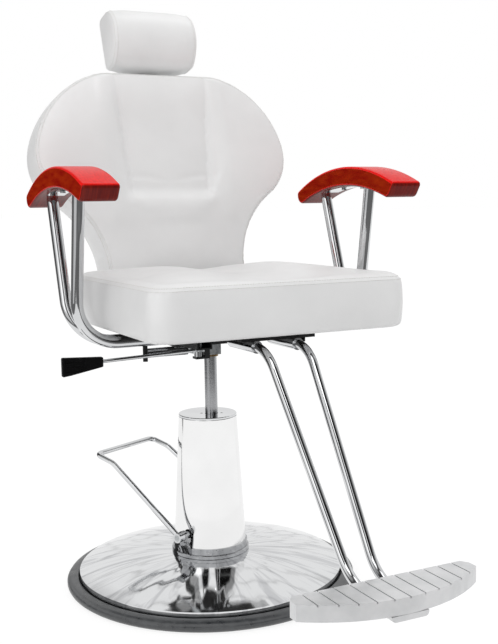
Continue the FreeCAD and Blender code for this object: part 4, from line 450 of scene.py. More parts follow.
def arc(start, middle, end, count=40):
    """Points on the circle through three points, by equal turns about its centre."""
    a, m, b = (complex(*spot) for spot in (start, middle, end))
    skew = (b - a) / (m - a)
    centre = a - (a - m) * (skew - abs(skew) ** 2) / 2j / skew.imag
    first = np.angle((m - centre) / (a - centre))
    sweep = first + np.angle((b - centre) / (m - centre))
    turned = centre + (a - centre) * np.exp(1j * np.linspace(0, sweep, count))
    return np.stack([turned.real, turned.imag], -1)


def about(centre, start, end):
    """The arc from start to end about a centre, the short way."""
    centre, start, end = (np.asarray(spot, float) for spot in (centre, start, end))
    halfway = (start + end) / 2 - centre
    halfway *= np.linalg.norm(start - centre) / np.linalg.norm(halfway)
    return arc(start, centre + halfway, end)


def evenly(points, step):
    """Points a step apart round a closed line, by its length so far."""
    points = np.asarray(points, float)
    points = np.vstack([points, points[:1]])
    far = np.concatenate([[0], np.cumsum(np.linalg.norm(np.diff(points, axis=0), axis=1))])
    keep = np.concatenate([[True], np.diff(far) > 1e-9])
    count = max(int(round(far[-1] / step)), 4)
    spots = np.linspace(0, far[-1], count, endpoint=False)
    return np.stack([np.interp(spots, far[keep], points[keep, axis])
                     for axis in range(points.shape[1])], -1)


WAIST_HALF, WAIST_UP = 156.0, -6.0
WING_HALF, WING_UP, WING_RAD = 285.0, 240.0, 108.0
BACK_FOOT, BACK_TOP, BACK_TOP_HALF = -52.0, 418.0, 122.0
TOP_SLOPE = math.radians(12.0)
FOOT_CORNER = 18.0


def back_outline(inset, step):
    """Outline of the back, across and up, drawn in by an inset.

    Each side runs up the waist, out on a hollow arc, round the wing on a tight arc and back in
    on a wide one to the level top, every arc tangent to the next.
    """
    wing = np.array([WING_HALF - WING_RAD, WING_UP])
    rise, gap = WING_UP - WAIST_UP, WING_HALF - WING_RAD - WAIST_HALF
    hollow_rad = (gap ** 2 + rise ** 2 - WING_RAD ** 2) / (2 * (gap + WING_RAD))
    hollow = np.array([WAIST_HALF + hollow_rad, WAIST_UP])
    ahead = np.array([math.cos(TOP_SLOPE), math.sin(TOP_SLOPE)])
    end = np.array([BACK_TOP_HALF, BACK_TOP]) - wing
    along = end @ ahead
    top_rad = (2 * WING_RAD * along - end @ end - WING_RAD ** 2) / (2 * (along - WING_RAD))
    mid = wing - ahead * (top_rad - WING_RAD)
    top, foot, side = BACK_TOP - inset, BACK_FOOT + inset, WAIST_HALF - inset
    crest = (mid[0] + math.sqrt((top_rad - inset) ** 2 - (top - mid[1]) ** 2), top)
    towards = (hollow - wing) / np.linalg.norm(hollow - wing)
    join = wing + towards * (WING_RAD - inset)
    turn = wing + ahead * (WING_RAD - inset)
    cut_in = FOOT_CORNER * (1 - math.sqrt(0.5))
    half = np.vstack([
        [(0, foot)],
        arc((side - FOOT_CORNER, foot), (side - cut_in, foot + cut_in), (side, foot + FOOT_CORNER)),
        about(hollow, (side, WAIST_UP), join), about(wing, join, turn),
        about(mid, turn, crest), [(0, top)]])
    return evenly(np.vstack([half, half[-2:0:-1] * (-1, 1)]), step)


def at_depth(outline, depth):
    """An outline of the back set at a depth through it, in the world."""
    across, up = outline.T
    return leaning(np.stack([across, np.full(len(outline), float(depth)), up], -1))


# Surfaces


def linked(name, points, faces):
    """A new object of the scene from lists of points and faces."""
    mesh = bpy.data.meshes.new(name)
    mesh.from_pydata(points, [], faces)
    piece = bpy.data.objects.new(name, mesh)
    scene.collection.objects.link(piece)
    return piece


def mesh_piece(name, points, faces, material, body):
    """A smooth shaded piece of a body from its points and faces."""
    piece = linked(name, points.tolist(), faces.tolist())
    mesh = piece.data
    mesh.polygons.foreach_set("use_smooth", np.ones(len(mesh.polygons), bool))
    mesh.materials.append(material)
    mesh.update()
    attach(piece, body)
    return piece


def face_out(mesh, merged=0.0):
    """Turns a closed mesh's faces outwards, after points within a distance are merged."""
    shape = bmesh.new()
    shape.from_mesh(mesh)
    if merged:
        bmesh.ops.remove_doubles(shape, verts=shape.verts, dist=merged)
    bmesh.ops.recalc_face_normals(shape, faces=shape.faces)
    shape.to_mesh(mesh)
    shape.free()


def tube_faces(count, sides, closed):
    """Quads between neighbouring rings of points, round the last ring to the first if closed."""
    along = np.arange(count if closed else count - 1)[:, None]
    round_it = np.arange(sides)[None, :]
    here, there = along * sides, (along + 1) % count * sides
    after = (round_it + 1) % sides
    return np.stack([here + round_it, here + after, there + after, there + round_it],
                    -1).reshape(-1, 4)


def coordinates(mesh):
    """The places of a mesh's vertices as rows."""
    places = np.empty(len(mesh.vertices) * 3, np.float32)
    mesh.vertices.foreach_get("co", places)
    return places.reshape(-1, 3).astype(float)


def place_all(mesh, places):
    """Sets the places of a mesh's vertices."""
    mesh.vertices.foreach_set("co", places.astype(np.float32).ravel())
    mesh.update()


def evaluated(thing):
    """A new mesh of an object with its modifiers worked in."""
    bpy.context.view_layer.update()
    graph = bpy.context.evaluated_depsgraph_get()
    return bpy.data.meshes.new_from_object(thing.evaluated_get(graph))


def settle(thing):
    """Works an object's modifiers into its mesh."""
    mesh = evaluated(thing)
    thing.modifiers.clear()
    thing.data = mesh


def laid_on(points, surface, height=0.0):
    """The nearest places on a surface to the points, lifted off it by a height, with normals."""
    tracing = linked("tracing", points.tolist(), [])
    mesh = tracing.data
    wrap = tracing.modifiers.new("lay", "SHRINKWRAP")
    wrap.target = surface
    wrap.wrap_method = "NEAREST_SURFACEPOINT"
    wrap.wrap_mode = "ABOVE_SURFACE"
    found = []
    for lift in (0.0, 0.001):
        wrap.offset = lift
        copy = evaluated(tracing)
        found.append(coordinates(copy))
        bpy.data.meshes.remove(copy)
    bpy.data.objects.remove(tracing)
    bpy.data.meshes.remove(mesh)
    normals = found[1] - found[0]
    normals /= np.maximum(np.linalg.norm(normals, axis=1, keepdims=True), 1e-9)
    return found[0] + normals * height, normals


def nearest(points, line):
    """Distance from each point to the nearest sample of a line, and that sample's number."""
    middle = line.mean(0)
    points, line = points - middle, line - middle
    far, which = [], []
    for block in np.array_split(points, max(len(points) // 4000, 1)):
        square = (block ** 2).sum(1)[:, None] + (line ** 2).sum(1) - 2 * block @ line.T
        which.append(square.argmin(1))
        far.append(np.sqrt(np.maximum(square.min(1), 0)))
    return np.concatenate(far), np.concatenate(which)


def waver(count, waves, seed):
    """A smooth closed row of numbers near -1 to 1: a sum of cosines with seeded phases."""
    dice = np.random.default_rng(seed)
    turn = np.linspace(0, 2 * np.pi, count, endpoint=False)
    beats = dice.integers(waves // 2, waves, 6)
    phases, sizes = dice.uniform(0, 2 * np.pi, 6), dice.uniform(0.4, 1.0, 6)
    return (sizes * np.cos(np.outer(turn, beats) + phases)).sum(1) / sizes.sum() * 1.6


def smooth_step(values, start, end):
    """0 before start, 1 after end and a smooth rise between them."""
    share = np.clip((values - start) / (end - start), 0, 1)
    return share * share * (3 - 2 * share)


def smooth_fall(values, start, end):
    """1 before start, 0 after end and a smooth fall between them."""
    return smooth_step(-values, -end, -start)


def relaxed(mesh, share, rounds):
    """Moves each point by its share towards the mean of its neighbours, over and over."""
    points = coordinates(mesh)
    ends = np.empty(len(mesh.edges) * 2, np.int32)
    mesh.edges.foreach_get("vertices", ends)
    first, second = ends.reshape(-1, 2).T
    near = np.bincount(ends, minlength=len(points))
    for _ in range(rounds):
        total = np.stack([
            np.bincount(first, points[second, axis], len(points))
            + np.bincount(second, points[first, axis], len(points)) for axis in range(3)], -1)
        points += share[:, None] * (total / near[:, None] - points)
    place_all(mesh, points)


# Cushions

FRAMES = 20
PRESSURE = 4.0
STIFFNESS = 12.0
BENDING = 2.0
MERGED = 0.02 * MM
VOXEL, SKIN = 7.0, 3.0
SEAM_INSET, SEAM_HOLD = 4.5, 6.5
SEAM_BANDS = (10.0, 6.0)
SEAM_WIDTH, SEAM_DEPTH, SEAM_PUCKER = 2.2, 1.4, 0.25
PUCKER_ASIDE, PUCKER_WIDTH = 8.0, 5.0


def padding(name, node, voxel, skin):
    """A copy of a cushion's CAD shape, merged, remeshed in even squares and drawn in by a skin."""
    pad = bpy.data.objects.new(name, nodes[node].data.copy())
    scene.collection.objects.link(pad)
    face_out(pad.data, MERGED)
    remesh = pad.modifiers.new("even", "REMESH")
    remesh.mode = "VOXEL"
    remesh.voxel_size = voxel * MM
    draw_in = pad.modifiers.new("skin", "DISPLACE")
    draw_in.mid_level = 0.0
    draw_in.strength = -skin * MM
    settle(pad)
    relaxed(pad.data, np.full(len(pad.data.vertices), 0.5), 3)
    return pad


def inflated(pad, held, cap):
    """Blows a pad up as cloth, with the held points fixed, and caps how far each point moves.

    The cap is in millimetres, one for all points or one for each.
    """
    start = coordinates(pad.data)
    group = pad.vertex_groups.new(name="held")
    group.add(np.flatnonzero(held).tolist(), 1.0, "REPLACE")
    cloth = pad.modifiers.new("cloth", "CLOTH")
    cloth.settings.vertex_group_mass = "held"
    cloth.settings.use_pressure = True
    cloth.settings.uniform_pressure_force = PRESSURE
    cloth.settings.tension_stiffness = STIFFNESS
    cloth.settings.compression_stiffness = STIFFNESS
    cloth.settings.shear_stiffness = STIFFNESS / 3
    cloth.settings.bending_stiffness = BENDING
    cloth.settings.effector_weights.gravity = 0.0
    cloth.point_cache.frame_end = FRAMES
    for number in range(1, FRAMES + 1):
        scene.frame_set(number)
    swollen = evaluated(pad)
    move = coordinates(swollen) - start
    far = np.linalg.norm(move, axis=1, keepdims=True)
    pad.modifiers.clear()
    pad.vertex_groups.clear()
    share = np.minimum(1, np.broadcast_to(cap, len(far))[:, None] * MM / np.maximum(far, 1e-9))
    place_all(pad.data, start + move * share)
    bpy.data.meshes.remove(swollen)
    scene.frame_set(1)


def refined(pad, lines, bands):
    """One subdivision everywhere, then one more near the lines for each band in millimetres."""
    smooth = pad.modifiers.new("smooth", "SUBSURF")
    smooth.levels = smooth.render_levels = 1
    settle(pad)
    for band in bands:
        points = coordinates(pad.data)
        near = np.zeros(len(points), bool)
        for line in lines:
            near |= nearest(points, line)[0] < band * MM
        shape = bmesh.new()
        shape.from_mesh(pad.data)
        ends = np.empty(len(pad.data.edges) * 2, np.int32)
        pad.data.edges.foreach_get("vertices", ends)
        chosen = list(itertools.compress(shape.edges, near[ends.reshape(-1, 2)].all(1)))
        bmesh.ops.subdivide_edges(shape, edges=chosen, cuts=1, use_grid_fill=True, smooth=0.6)
        shape.to_mesh(pad.data)
        shape.free()


def sewn(pad, lines, width, depth, pucker, seed):
    """Sinks a seam along each line, with small puckers beside it, and marks it for the finish.

    The sink is a bell of the distance to the line. The puckers are a bell round a distance
    aside, as high as a smooth random row along the line. The mark tells the finish where to
    paint shade in the seam.
    """
    mesh = pad.data
    places = coordinates(mesh)
    normals = np.empty(len(places) * 3, np.float32)
    mesh.vertex_normals.foreach_get("vector", normals)
    normals = normals.reshape(-1, 3)
    marked = np.zeros(len(places))
    for number, line in enumerate(lines):
        far, which = nearest(places, line)
        far /= MM
        bell = np.exp(-(far / width) ** 2)
        ripple = waver(len(line), max(len(line) // 9, 8), seed + number)[which]
        beside = np.exp(-((far - PUCKER_ASIDE) / PUCKER_WIDTH) ** 2)
        places += normals * ((pucker * ripple * beside - depth * bell) * MM)[:, None]
        marked = np.maximum(marked, np.exp(-(far / (width * 0.8)) ** 2))
    place_all(mesh, places)
    seam = mesh.attributes.new("seam", "FLOAT", "POINT")
    seam.data.foreach_set("value", marked.astype(np.float32))


def finished(pad, body, node):
    pad.data.polygons.foreach_set("use_smooth", np.ones(len(pad.data.polygons), bool))
    pad.data.materials.clear()
    pad.data.materials.append(vinyl)
    pad.data.update()
    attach(pad, body)
    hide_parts(node)


STITCH_PITCH, STITCH_PARTS = 5.0, 5
STITCH_ASIDE = (3.6, -3.6)
THREAD_RAD, THREAD_SIDES, THREAD_THIN = 0.55, 6, 0.35
THREAD_RISE, THREAD_SUNK = 1.6, 0.45


def stitches(name, line, surface, aside, body):
    """Closed rows of stitches on a surface, each at a distance aside from a line.

    A row is a thin tube that follows the surface. Its radius and its height are a rectified
    sine of the length, so that it dips into the cover between stitches.
    """
    step = STITCH_PITCH / STITCH_PARTS
    for number, offset in enumerate(aside):
        path, normals = laid_on(evenly(line / MM, step) * MM, surface)
        across = np.cross(np.roll(path, -1, 0) - np.roll(path, 1, 0), normals)
        across /= np.maximum(np.linalg.norm(across, axis=1, keepdims=True), 1e-9)
        path, normals = laid_on(path + across * offset * MM, surface)
        swing = np.abs(np.sin(np.pi * (np.arange(len(path)) + 0.5) / STITCH_PARTS))
        path = path + normals * ((swing - THREAD_SUNK) * THREAD_RAD * THREAD_RISE * MM)[:, None]
        around = np.arange(THREAD_SIDES) * 2 * np.pi / THREAD_SIDES
        ring = (np.cos(around)[None, :, None] * across[:, None]
                + np.sin(around)[None, :, None] * normals[:, None])
        radius = THREAD_RAD * (THREAD_THIN + (1 - THREAD_THIN) * swing) * MM
        points = (path[:, None] + ring * radius[:, None, None]).reshape(-1, 3)
        mesh_piece(name + "_" + str(number + 1), points,
                   tube_faces(len(path), THREAD_SIDES, True), thread, body)


# The seat cushion

SEAT_HALF, SEAT_FRONT, SEAT_REAR = 247.0, -338.0, 114.0
SEAT_FOOT, SEAT_SEAM, SEAT_CORNER = 528.0, 622.0, 42.0
SEAT_SWELL, SEAT_HELD = 9.0, 16.0
DISH_DEEP, DISH_HALF, DISH_LESS = 13.0, 70.0, 0.5
THIGH_TALL, THIGH_ASIDE, THIGH_HALF = 4.0, 130.0, 60.0
ROLL_TALL, ROLL_INSIDE, ROLL_HALF = 3.5, 22.0, 11.0

# Where each smooth rise or fall of the seat starts and ends

DISH_LEVEL, DISH_SIDE = (600.0, 628.0), (SEAT_HALF - 70, SEAT_HALF - 10)
DISH_FRONT, DISH_REAR = (SEAT_FRONT + 8, SEAT_FRONT + 70), (-60.0, 60.0)
ROLL_LEVEL = (SEAT_SEAM - 4, SEAT_SEAM + 2)


def box_outline(half, front, rear, corner, step):
    """A rectangle with rounded corners in plan, symmetric about the middle."""
    cut_in = corner * (1 - math.sqrt(0.5))
    right = np.vstack([
        [(0, front)],
        arc((half - corner, front), (half - cut_in, front + cut_in), (half, front + corner)),
        arc((half, rear - corner), (half - cut_in, rear - cut_in), (half - corner, rear)),
        [(0, rear)]])
    return evenly(np.vstack([right, right[-2:0:-1] * (-1, 1)]), step)


def seat_line(inset, height):
    """The seat's outline drawn in by an inset, at a height, in the world."""
    plan = box_outline(SEAT_HALF - inset, SEAT_FRONT + inset, SEAT_REAR - inset,
                       SEAT_CORNER - inset, 1.0)
    return np.column_stack([plan, np.full(len(plan), height)]) * MM


def make_seat():
    """Seat cushion: blown up between its top seam and its foot, then dished for the sitter.

    The dish is a bell across the middle, with a lower swell for each thigh, and is shallower
    to the rear. A low roll, a bell of the distance from the outline, runs inside the seam.
    """
    pad = padding("seat_cushion_cover", "seat_cushion", VOXEL, SKIN)
    seam = seat_line(SEAM_INSET, SEAT_SEAM)
    points = coordinates(pad.data)
    held = points[:, 2] < (SEAT_FOOT + SEAT_HELD) * MM
    held |= nearest(points, seam)[0] < SEAM_HOLD * MM
    inflated(pad, held, SEAT_SWELL)
    refined(pad, [seam], SEAM_BANDS)
    places = coordinates(pad.data)
    x, y, z = places.T / MM
    top = smooth_step(z, *DISH_LEVEL) * smooth_fall(np.abs(x), *DISH_SIDE)
    front = smooth_step(y, *DISH_FRONT)
    dish = -DISH_DEEP * np.exp(-(x / DISH_HALF) ** 2)
    dish += THIGH_TALL * np.exp(-((np.abs(x) - THIGH_ASIDE) / THIGH_HALF) ** 2)
    rear = 1 - DISH_LESS * smooth_step(y, *DISH_REAR)
    plan = box_outline(SEAT_HALF, SEAT_FRONT, SEAT_REAR, SEAT_CORNER, 3.0)
    inside = nearest(np.stack([x, y], -1), plan)[0]
    roll = ROLL_TALL * smooth_step(z, *ROLL_LEVEL)
    roll *= np.exp(-((inside - ROLL_INSIDE) / ROLL_HALF) ** 2)
    places[:, 2] += (top * front * rear * dish + roll) * MM
    place_all(pad.data, places)
    sewn(pad, [seam], SEAM_WIDTH, SEAM_DEPTH, SEAM_PUCKER, 3)
    finished(pad, "seat", "seat_cushion")
    stitches("seat_stitches", seam, pad, STITCH_ASIDE, "seat")


# The back cushion

BACK_SEAM, BACK_BOX_REAR = -22.0, 70.0
BACK_SWELL, PANEL_SWELL = 7.0, 1.5
REAR_INSET, REAR_HOLD, REAR_STEP = 8.0, 7.0, 4.0
BOARD_DEEP, BOARD_INSIDE, BOX_DEEP = 36.0, 14.0, 66.0
PANEL_HALF, PANEL_WIDER, PANEL_TAPER = 100.0, 3.5, 17.5
PANEL_LOW, PANEL_TALL = 140.0, 260.0
PANEL_DEEP, PANEL_SHALLOWER, PANEL_EASE, PANEL_ARCH = 15.0, 4.0, 0.65, 14.0
STEEP_SHARE, GENTLE_SHARE = 0.6, 0.4
CROWN_DEEP, CROWN_WIDE = 12.0, 60.0
CREASE_DEEP, CREASE_HALF = 3.0, 4.0
CREASE_HOLD, CREASE_UP, CREASE_FRONT = 5.0, 190.0, 10.0
RIDGE_TALL, RIDGE_HALF, RIDGE_UP, RIDGE_TURN = 5.5, 17.0, 126.0, 14.0

# Where each smooth rise or fall of the back starts and ends

FACE_TURN, EVEN_RIM, SHAPED_RIM = (-4.0, 6.0), (14.0, 34.0), (4.0, 15.0)
SHAPED_SIDE, SHAPED_FOOT = (136.0, 150.0), (84.0, 106.0)
TAUT_SIDE, TAUT_FOOT = (96.0, 128.0), (96.0, 136.0)
PANEL_FOOT, PANEL_HEAD = (134.0, 168.0), (300.0, 400.0)
STEEP_SIDE, GENTLE_SIDE = (98.0, 112.0), (104.0, 150.0)
RIDGE_BEND, RIDGE_END = (70.0, 108.0), (98.0, 122.0)


def panel_aside(across, height):
    """Distance from the middle, shifted with the height so that both creases lie at PANEL_HALF.

    The creases close downwards by PANEL_TAPER over PANEL_TALL.
    """
    lowered = 1 - np.clip((height - PANEL_LOW) / PANEL_TALL, 0, 1)
    return np.abs(across) - PANEL_WIDER + PANEL_TAPER * lowered


def recess(across, deep, height, inside):
    """How far the middle of the back's front goes rearwards.

    The crown is a quarter of an ellipse from the edge inwards. The middle panel is sunk in it
    between the wings: a level sink, eased in over the inner slope of each wing and over the
    lumbar ridge below, and mostly out again towards the top, lower in the middle. A crease runs
    down each side, and the ridge stands a little proud and turns up at its ends.
    """
    aside = panel_aside(across, height)
    arch = np.clip(1 - (across / PANEL_HALF) ** 2, 0, 1)
    run = 1 - np.clip(inside / CROWN_WIDE, 0, 1)
    crown = BACK_SEAM - CROWN_DEEP * np.sqrt(1 - run ** 2)
    steep, gentle = smooth_fall(aside, *STEEP_SIDE), smooth_fall(aside, *GENTLE_SIDE)
    sunk = STEEP_SHARE * steep + GENTLE_SHARE * gentle
    tall = smooth_step(height, *PANEL_FOOT)
    tall = tall * (1 - PANEL_EASE * smooth_step(height + PANEL_ARCH * arch, *PANEL_HEAD))
    crease = CREASE_DEEP * np.exp(-((aside - PANEL_HALF) / CREASE_HALF) ** 2)
    level = crown + (PANEL_DEEP - PANEL_SHALLOWER * arch) * sunk * tall + crease * tall
    crest = RIDGE_UP + RIDGE_TURN * smooth_step(aside, *RIDGE_BEND)
    ridge = RIDGE_TALL * smooth_fall(aside, *RIDGE_END)
    level -= ridge * np.exp(-((height - crest) / RIDGE_HALF) ** 2)
    share = smooth_fall(np.abs(across), *SHAPED_SIDE) * smooth_step(height, *SHAPED_FOOT)
    return (level - deep) * share


def make_back():
    """Back cushion: blown up between its front seam, its creases and its rear edge."""
    pad = padding("back_cushion_cover", "back_cushion", VOXEL, SKIN)
    seam = at_depth(back_outline(SEAM_INSET, 1.0), BACK_SEAM + 1)
    rear = at_depth(back_outline(REAR_INSET, REAR_STEP), BACK_BOX_REAR)
    points = coordinates(pad.data)
    across, deep, height = upright(points).T
    outline = back_outline(0.0, REAR_STEP)
    inside = nearest(np.stack([across, height], -1), outline)[0]
    held = nearest(points, seam)[0] < SEAM_HOLD * MM
    held |= nearest(points, rear)[0] < REAR_HOLD * MM
    held |= (deep > BOARD_DEEP) & (inside > BOARD_INSIDE)
    held |= deep > BOX_DEEP
    crease = np.abs(panel_aside(across, height) - PANEL_HALF) < CREASE_HOLD
    held |= crease & (height > CREASE_UP) & (deep < CREASE_FRONT)
    face = smooth_fall(deep, *FACE_TURN) * smooth_step(inside, *EVEN_RIM)
    relaxed(pad.data, face * 0.5, 10)
    across, deep, height = upright(coordinates(pad.data)).T
    inner = smooth_fall(deep, *FACE_TURN) * smooth_step(inside, *SHAPED_RIM)
    deep = deep + inner * recess(across, deep, height, inside)
    place_all(pad.data, leaning(np.stack([across, deep, height], -1)))
    panel = smooth_fall(np.abs(across), *TAUT_SIDE) * smooth_step(height, *TAUT_FOOT)
    panel *= smooth_fall(deep, *FACE_TURN)
    inflated(pad, held, BACK_SWELL - (BACK_SWELL - PANEL_SWELL) * panel)
    refined(pad, [seam], SEAM_BANDS)
    sewn(pad, [seam], SEAM_WIDTH, SEAM_DEPTH, SEAM_PUCKER, 11)
    finished(pad, "back", "back_cushion")
    stitches("back_stitches", seam, pad, STITCH_ASIDE, "back")


# The rear cover of the back

COVER_MIDDLE = (0.0, 190.0)
COVER_INNER, COVER_EDGE, COVER_ROUND, COVER_CROWN = 70.0, 71.8, 1.8, 3.6
COVER_INSET, COVER_STITCH_INSET, COVER_STITCH_DEEP = 7.0, 15.0, 74.5


def make_cover():
    """Rear cover: a thin closed panel, crowned between its edge and its middle.

    Rings of the outline are drawn in towards one middle point. The depth is a rounded edge
    followed by a low crown, and the flat inner side closes it.
    """
    edge = back_outline(COVER_INSET, 3.0)
    middle = np.array(COVER_MIDDLE)
    turn = np.linspace(-np.pi / 2, np.pi / 2, 9)
    share = np.linspace(0.975, 0.04, 34)
    shares = np.concatenate([0.99 + 0.01 * np.cos(turn), share])
    outer = COVER_EDGE + COVER_ROUND
    depths = np.concatenate([COVER_EDGE + COVER_ROUND * np.sin(turn),
                             outer + COVER_CROWN * (1 - share ** 6)])
    rings = middle + (edge - middle)[None] * shares[:, None, None]
    points = np.concatenate([rings[..., :1], np.broadcast_to(
        depths[:, None, None], rings.shape[:2] + (1,)), rings[..., 1:]], -1).reshape(-1, 3)
    across, up = COVER_MIDDLE
    points = np.vstack([points, [(across, COVER_INNER, up), (across, outer + COVER_CROWN, up)]])
    count = len(edge)
    quads = tube_faces(len(shares), count, False)
    spot = np.arange(count)
    after = (spot + 1) % count
    last = (len(shares) - 1) * count
    caps = [[after[i], spot[i], len(points) - 2] for i in range(count)]
    caps += [[last + spot[i], last + after[i], len(points) - 1] for i in range(count)]
    cover = linked("back_rear_cover", leaning(points).tolist(), quads.tolist() + caps)
    face_out(cover.data)
    # The seam attribute is zero all over, so the cover gets no painted seam shade.
    marks = cover.data.attributes.new("seam", "FLOAT", "POINT")
    marks.data.foreach_set("value", np.zeros(len(points), np.float32))
    finished(cover, "back", "back_cover")
    seam = at_depth(back_outline(COVER_STITCH_INSET, 2.0), COVER_STITCH_DEEP)
    stitches("cover_stitches", seam, cover, (0.0,), "back")


# The headrest

HEAD_HALF, HEAD_FOOT, HEAD_TOP = 98.0, 434.0, 566.0
HEAD_REAR_FOOT, HEAD_REAR_TOP, HEAD_CHORD, HEAD_BELLY = 54.0, 72.0, 2.0, 41.0
HEAD_TOP_ROUND, HEAD_TOP_CUT, HEAD_FOOT_ROUND, HEAD_FOOT_CUT = 15.0, 4.5, 9.0, 2.7
HEAD_SAG, HEAD_SWELL = 6.0, 5.0
HEAD_VOXEL, HEAD_SKIN, HEAD_END = 4.5, 2.0, 7.0
HEAD_SEAM_HOLD, HEAD_SEAM_WIDTH, HEAD_SEAM_DEPTH, HEAD_PUCKER = 5.5, 1.8, 1.2, 0.2
HEAD_BANDS, HEAD_STITCHES = (8.0, 5.0), (3.4, -3.4)
CORE_HALF, CORE_NEAR, CORE_FAR, CORE_FOOT, CORE_TOP = 66.0, 14.0, 62.0, 440.0, 556.0

# Where each smooth rise or fall of the headrest starts and ends

SAG_SIDE, SAG_UP, EASED_END = (60.0, 92.0), (HEAD_FOOT, HEAD_FOOT + 14), (76.0, 90.0)


def head_line(inset, across):
    """Side outline of the headrest at one place across: round front, straight leaning rear.

    Each rear corner is an arc through three points, its middle one a cut in from the corner.
    """
    foot, top = HEAD_FOOT + inset, HEAD_TOP - inset
    lean = (HEAD_REAR_TOP - HEAD_REAR_FOOT) / (HEAD_TOP - HEAD_FOOT)
    rear_foot = HEAD_REAR_FOOT - inset
    rear_top = rear_foot + lean * (top - foot)
    chord, front = HEAD_CHORD + inset * 0.4, HEAD_CHORD - HEAD_BELLY + inset
    top_round, top_cut, foot_round = HEAD_TOP_ROUND, HEAD_TOP_CUT, HEAD_FOOT_ROUND
    side = np.vstack([
        arc((chord, foot), (front, (foot + top) / 2), (chord, top)),
        arc((rear_top - top_round, top), (rear_top - top_cut - lean * 4, top - top_cut),
            (rear_top - lean * top_round, top - top_round)),
        arc((rear_foot + lean * foot_round, foot + foot_round),
            (rear_foot - HEAD_FOOT_CUT, foot + HEAD_FOOT_CUT), (rear_foot - foot_round, foot))])
    side = evenly(side, 1.0)
    return leaning(np.stack([np.full(len(side), float(across)), side[:, 0], side[:, 1]], -1))


def make_headrest():
    """Headrest: blown up between the seams of its two flat ends, then sagged in its middle."""
    pad = padding("headrest_cover", "headrest_cushion", HEAD_VOXEL, HEAD_SKIN)
    seams = [head_line(SEAM_INSET, side * (HEAD_HALF - HEAD_END)) for side in (-1, 1)]
    points = coordinates(pad.data)
    across, deep, height = upright(points).T
    held = np.zeros(len(points), bool)
    for seam in seams:
        held |= nearest(points, seam)[0] < HEAD_SEAM_HOLD * MM
    core = (np.abs(across) < CORE_HALF) & (deep > CORE_NEAR) & (deep < CORE_FAR)
    held |= core & (height > CORE_FOOT) & (height < CORE_TOP)
    relaxed(pad.data, np.where(held, 0.1, 0.5), 18)
    inflated(pad, held, HEAD_SWELL)
    across, deep, height = upright(coordinates(pad.data)).T
    sag = HEAD_SAG * smooth_fall(np.abs(across), *SAG_SIDE)
    height = height - sag * smooth_fall(height, *SAG_UP)
    place_all(pad.data, leaning(np.stack([across, deep, height], -1)))
    relaxed(pad.data, 0.5 * smooth_step(np.abs(across), *EASED_END), 7)
    refined(pad, seams, HEAD_BANDS)
    sewn(pad, seams, HEAD_SEAM_WIDTH, HEAD_SEAM_DEPTH, HEAD_PUCKER, 23)
    finished(pad, "headrest", "headrest_cushion")
    for tag, seam in zip(("right", "left"), seams):
        stitches("headrest_stitches_" + tag, seam, pad, HEAD_STITCHES, "headrest")


# The floor ring

RING_CENTRE = (-4.695, 8.829)
RING_SIDE = [(251, 0.5), (276, 0), (283, 1.6), (287.5, 5), (289.8, 9.5), (289.6, 14), (287, 18),
             (282, 20.8), (275, 21.9), (268.5, 22), (266.8, 21.2), (266.4, 16), (251, 16)]


def make_ring():
    """Floor ring: its section, a closed line with rounded edges, turned round the vertical."""
    side = evenly(np.array(RING_SIDE), 2.5)
    turn = np.linspace(0, 2 * np.pi, 240, endpoint=False)[:, None]
    centre = np.array(RING_CENTRE)
    points = np.stack([centre[0] + side[:, 0] * np.cos(turn), centre[1] + side[:, 0] * np.sin(turn),
                       np.broadcast_to(side[:, 1], (len(turn), len(side)))], -1).reshape(-1, 3)
    ring = mesh_piece("floor_ring", points * MM, tube_faces(len(turn), len(side), True),
                      materials["ring_rubber"], "base")
    face_out(ring.data)
    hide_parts("rubber_ring")


# The arm pads

PAD_MID, PAD_HALF, PAD_EDGE = 296.0, 32.5, 4.0


def pad_outline():
    """Side view of an arm pad as (Y, Z): a long arc over a hollow one, with rounded ends."""
    return evenly(np.vstack([
        arc((104, 781), (-78, 825), (-244, 792.5)),
        arc((-244, 792.5), (-250, 788), (-248.5, 781)),
        arc((-241, 770), (-235, 764.3), (-225, 763)),
        arc((-225, 763), (-85, 787.5), (82, 756.5)),
        arc((86, 755.6), (103, 757), (110.5, 768)),
        arc((111, 771), (109.5, 777), (104, 781), 8)]), 3.0)


def make_pad(side, tag):
    """Arm pad: its side view carried across, drawn in along a quarter round at each long edge.

    The two flat sides are closed by strips between the upper and the lower half of the view.
    """
    view = pad_outline()
    ahead = np.roll(view, -1, 0) - np.roll(view, 1, 0)
    inward = np.stack([ahead[:, 1], -ahead[:, 0]], -1) / np.linalg.norm(ahead, axis=1)[:, None]
    area = np.sum(view[:, 0] * np.roll(view[:, 1], -1) - np.roll(view[:, 0], -1) * view[:, 1])
    inward = -inward * np.sign(area)
    turn = np.linspace(0, np.pi / 2, 6)
    near = PAD_HALF - PAD_EDGE + PAD_EDGE * np.cos(turn)
    drawn = PAD_EDGE * (1 - np.sin(turn))
    across = np.concatenate([-near, near[::-1]])
    inset = np.concatenate([drawn, drawn[::-1]])
    rings = view[None] + inward[None] * inset[:, None, None]
    mid = side * PAD_MID
    points = np.concatenate([np.broadcast_to((mid + across)[:, None, None], rings.shape[:2] + (1,)),
                             rings], -1).reshape(-1, 3)
    count = len(view)
    walls = tube_faces(len(across), count, False)
    here = np.arange(count // 2 - 1)
    strip = np.stack([here, here + 1, count - 2 - here, count - 1 - here], -1)
    last = (len(across) - 1) * count
    faces = np.vstack([walls, strip[:, ::-1], strip + last])
    pad = mesh_piece("arm_pad_" + tag, points * MM, faces, materials["red_lacquer"], "seat")
    pad.data.materials.append(materials["sawn_lacquer"])
    sawn = np.zeros(len(faces), np.int32)
    sawn[len(walls):] = 1
    pad.data.polygons.foreach_set("material_index", sawn)
    face_out(pad.data)
    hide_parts("armrest_" + tag)


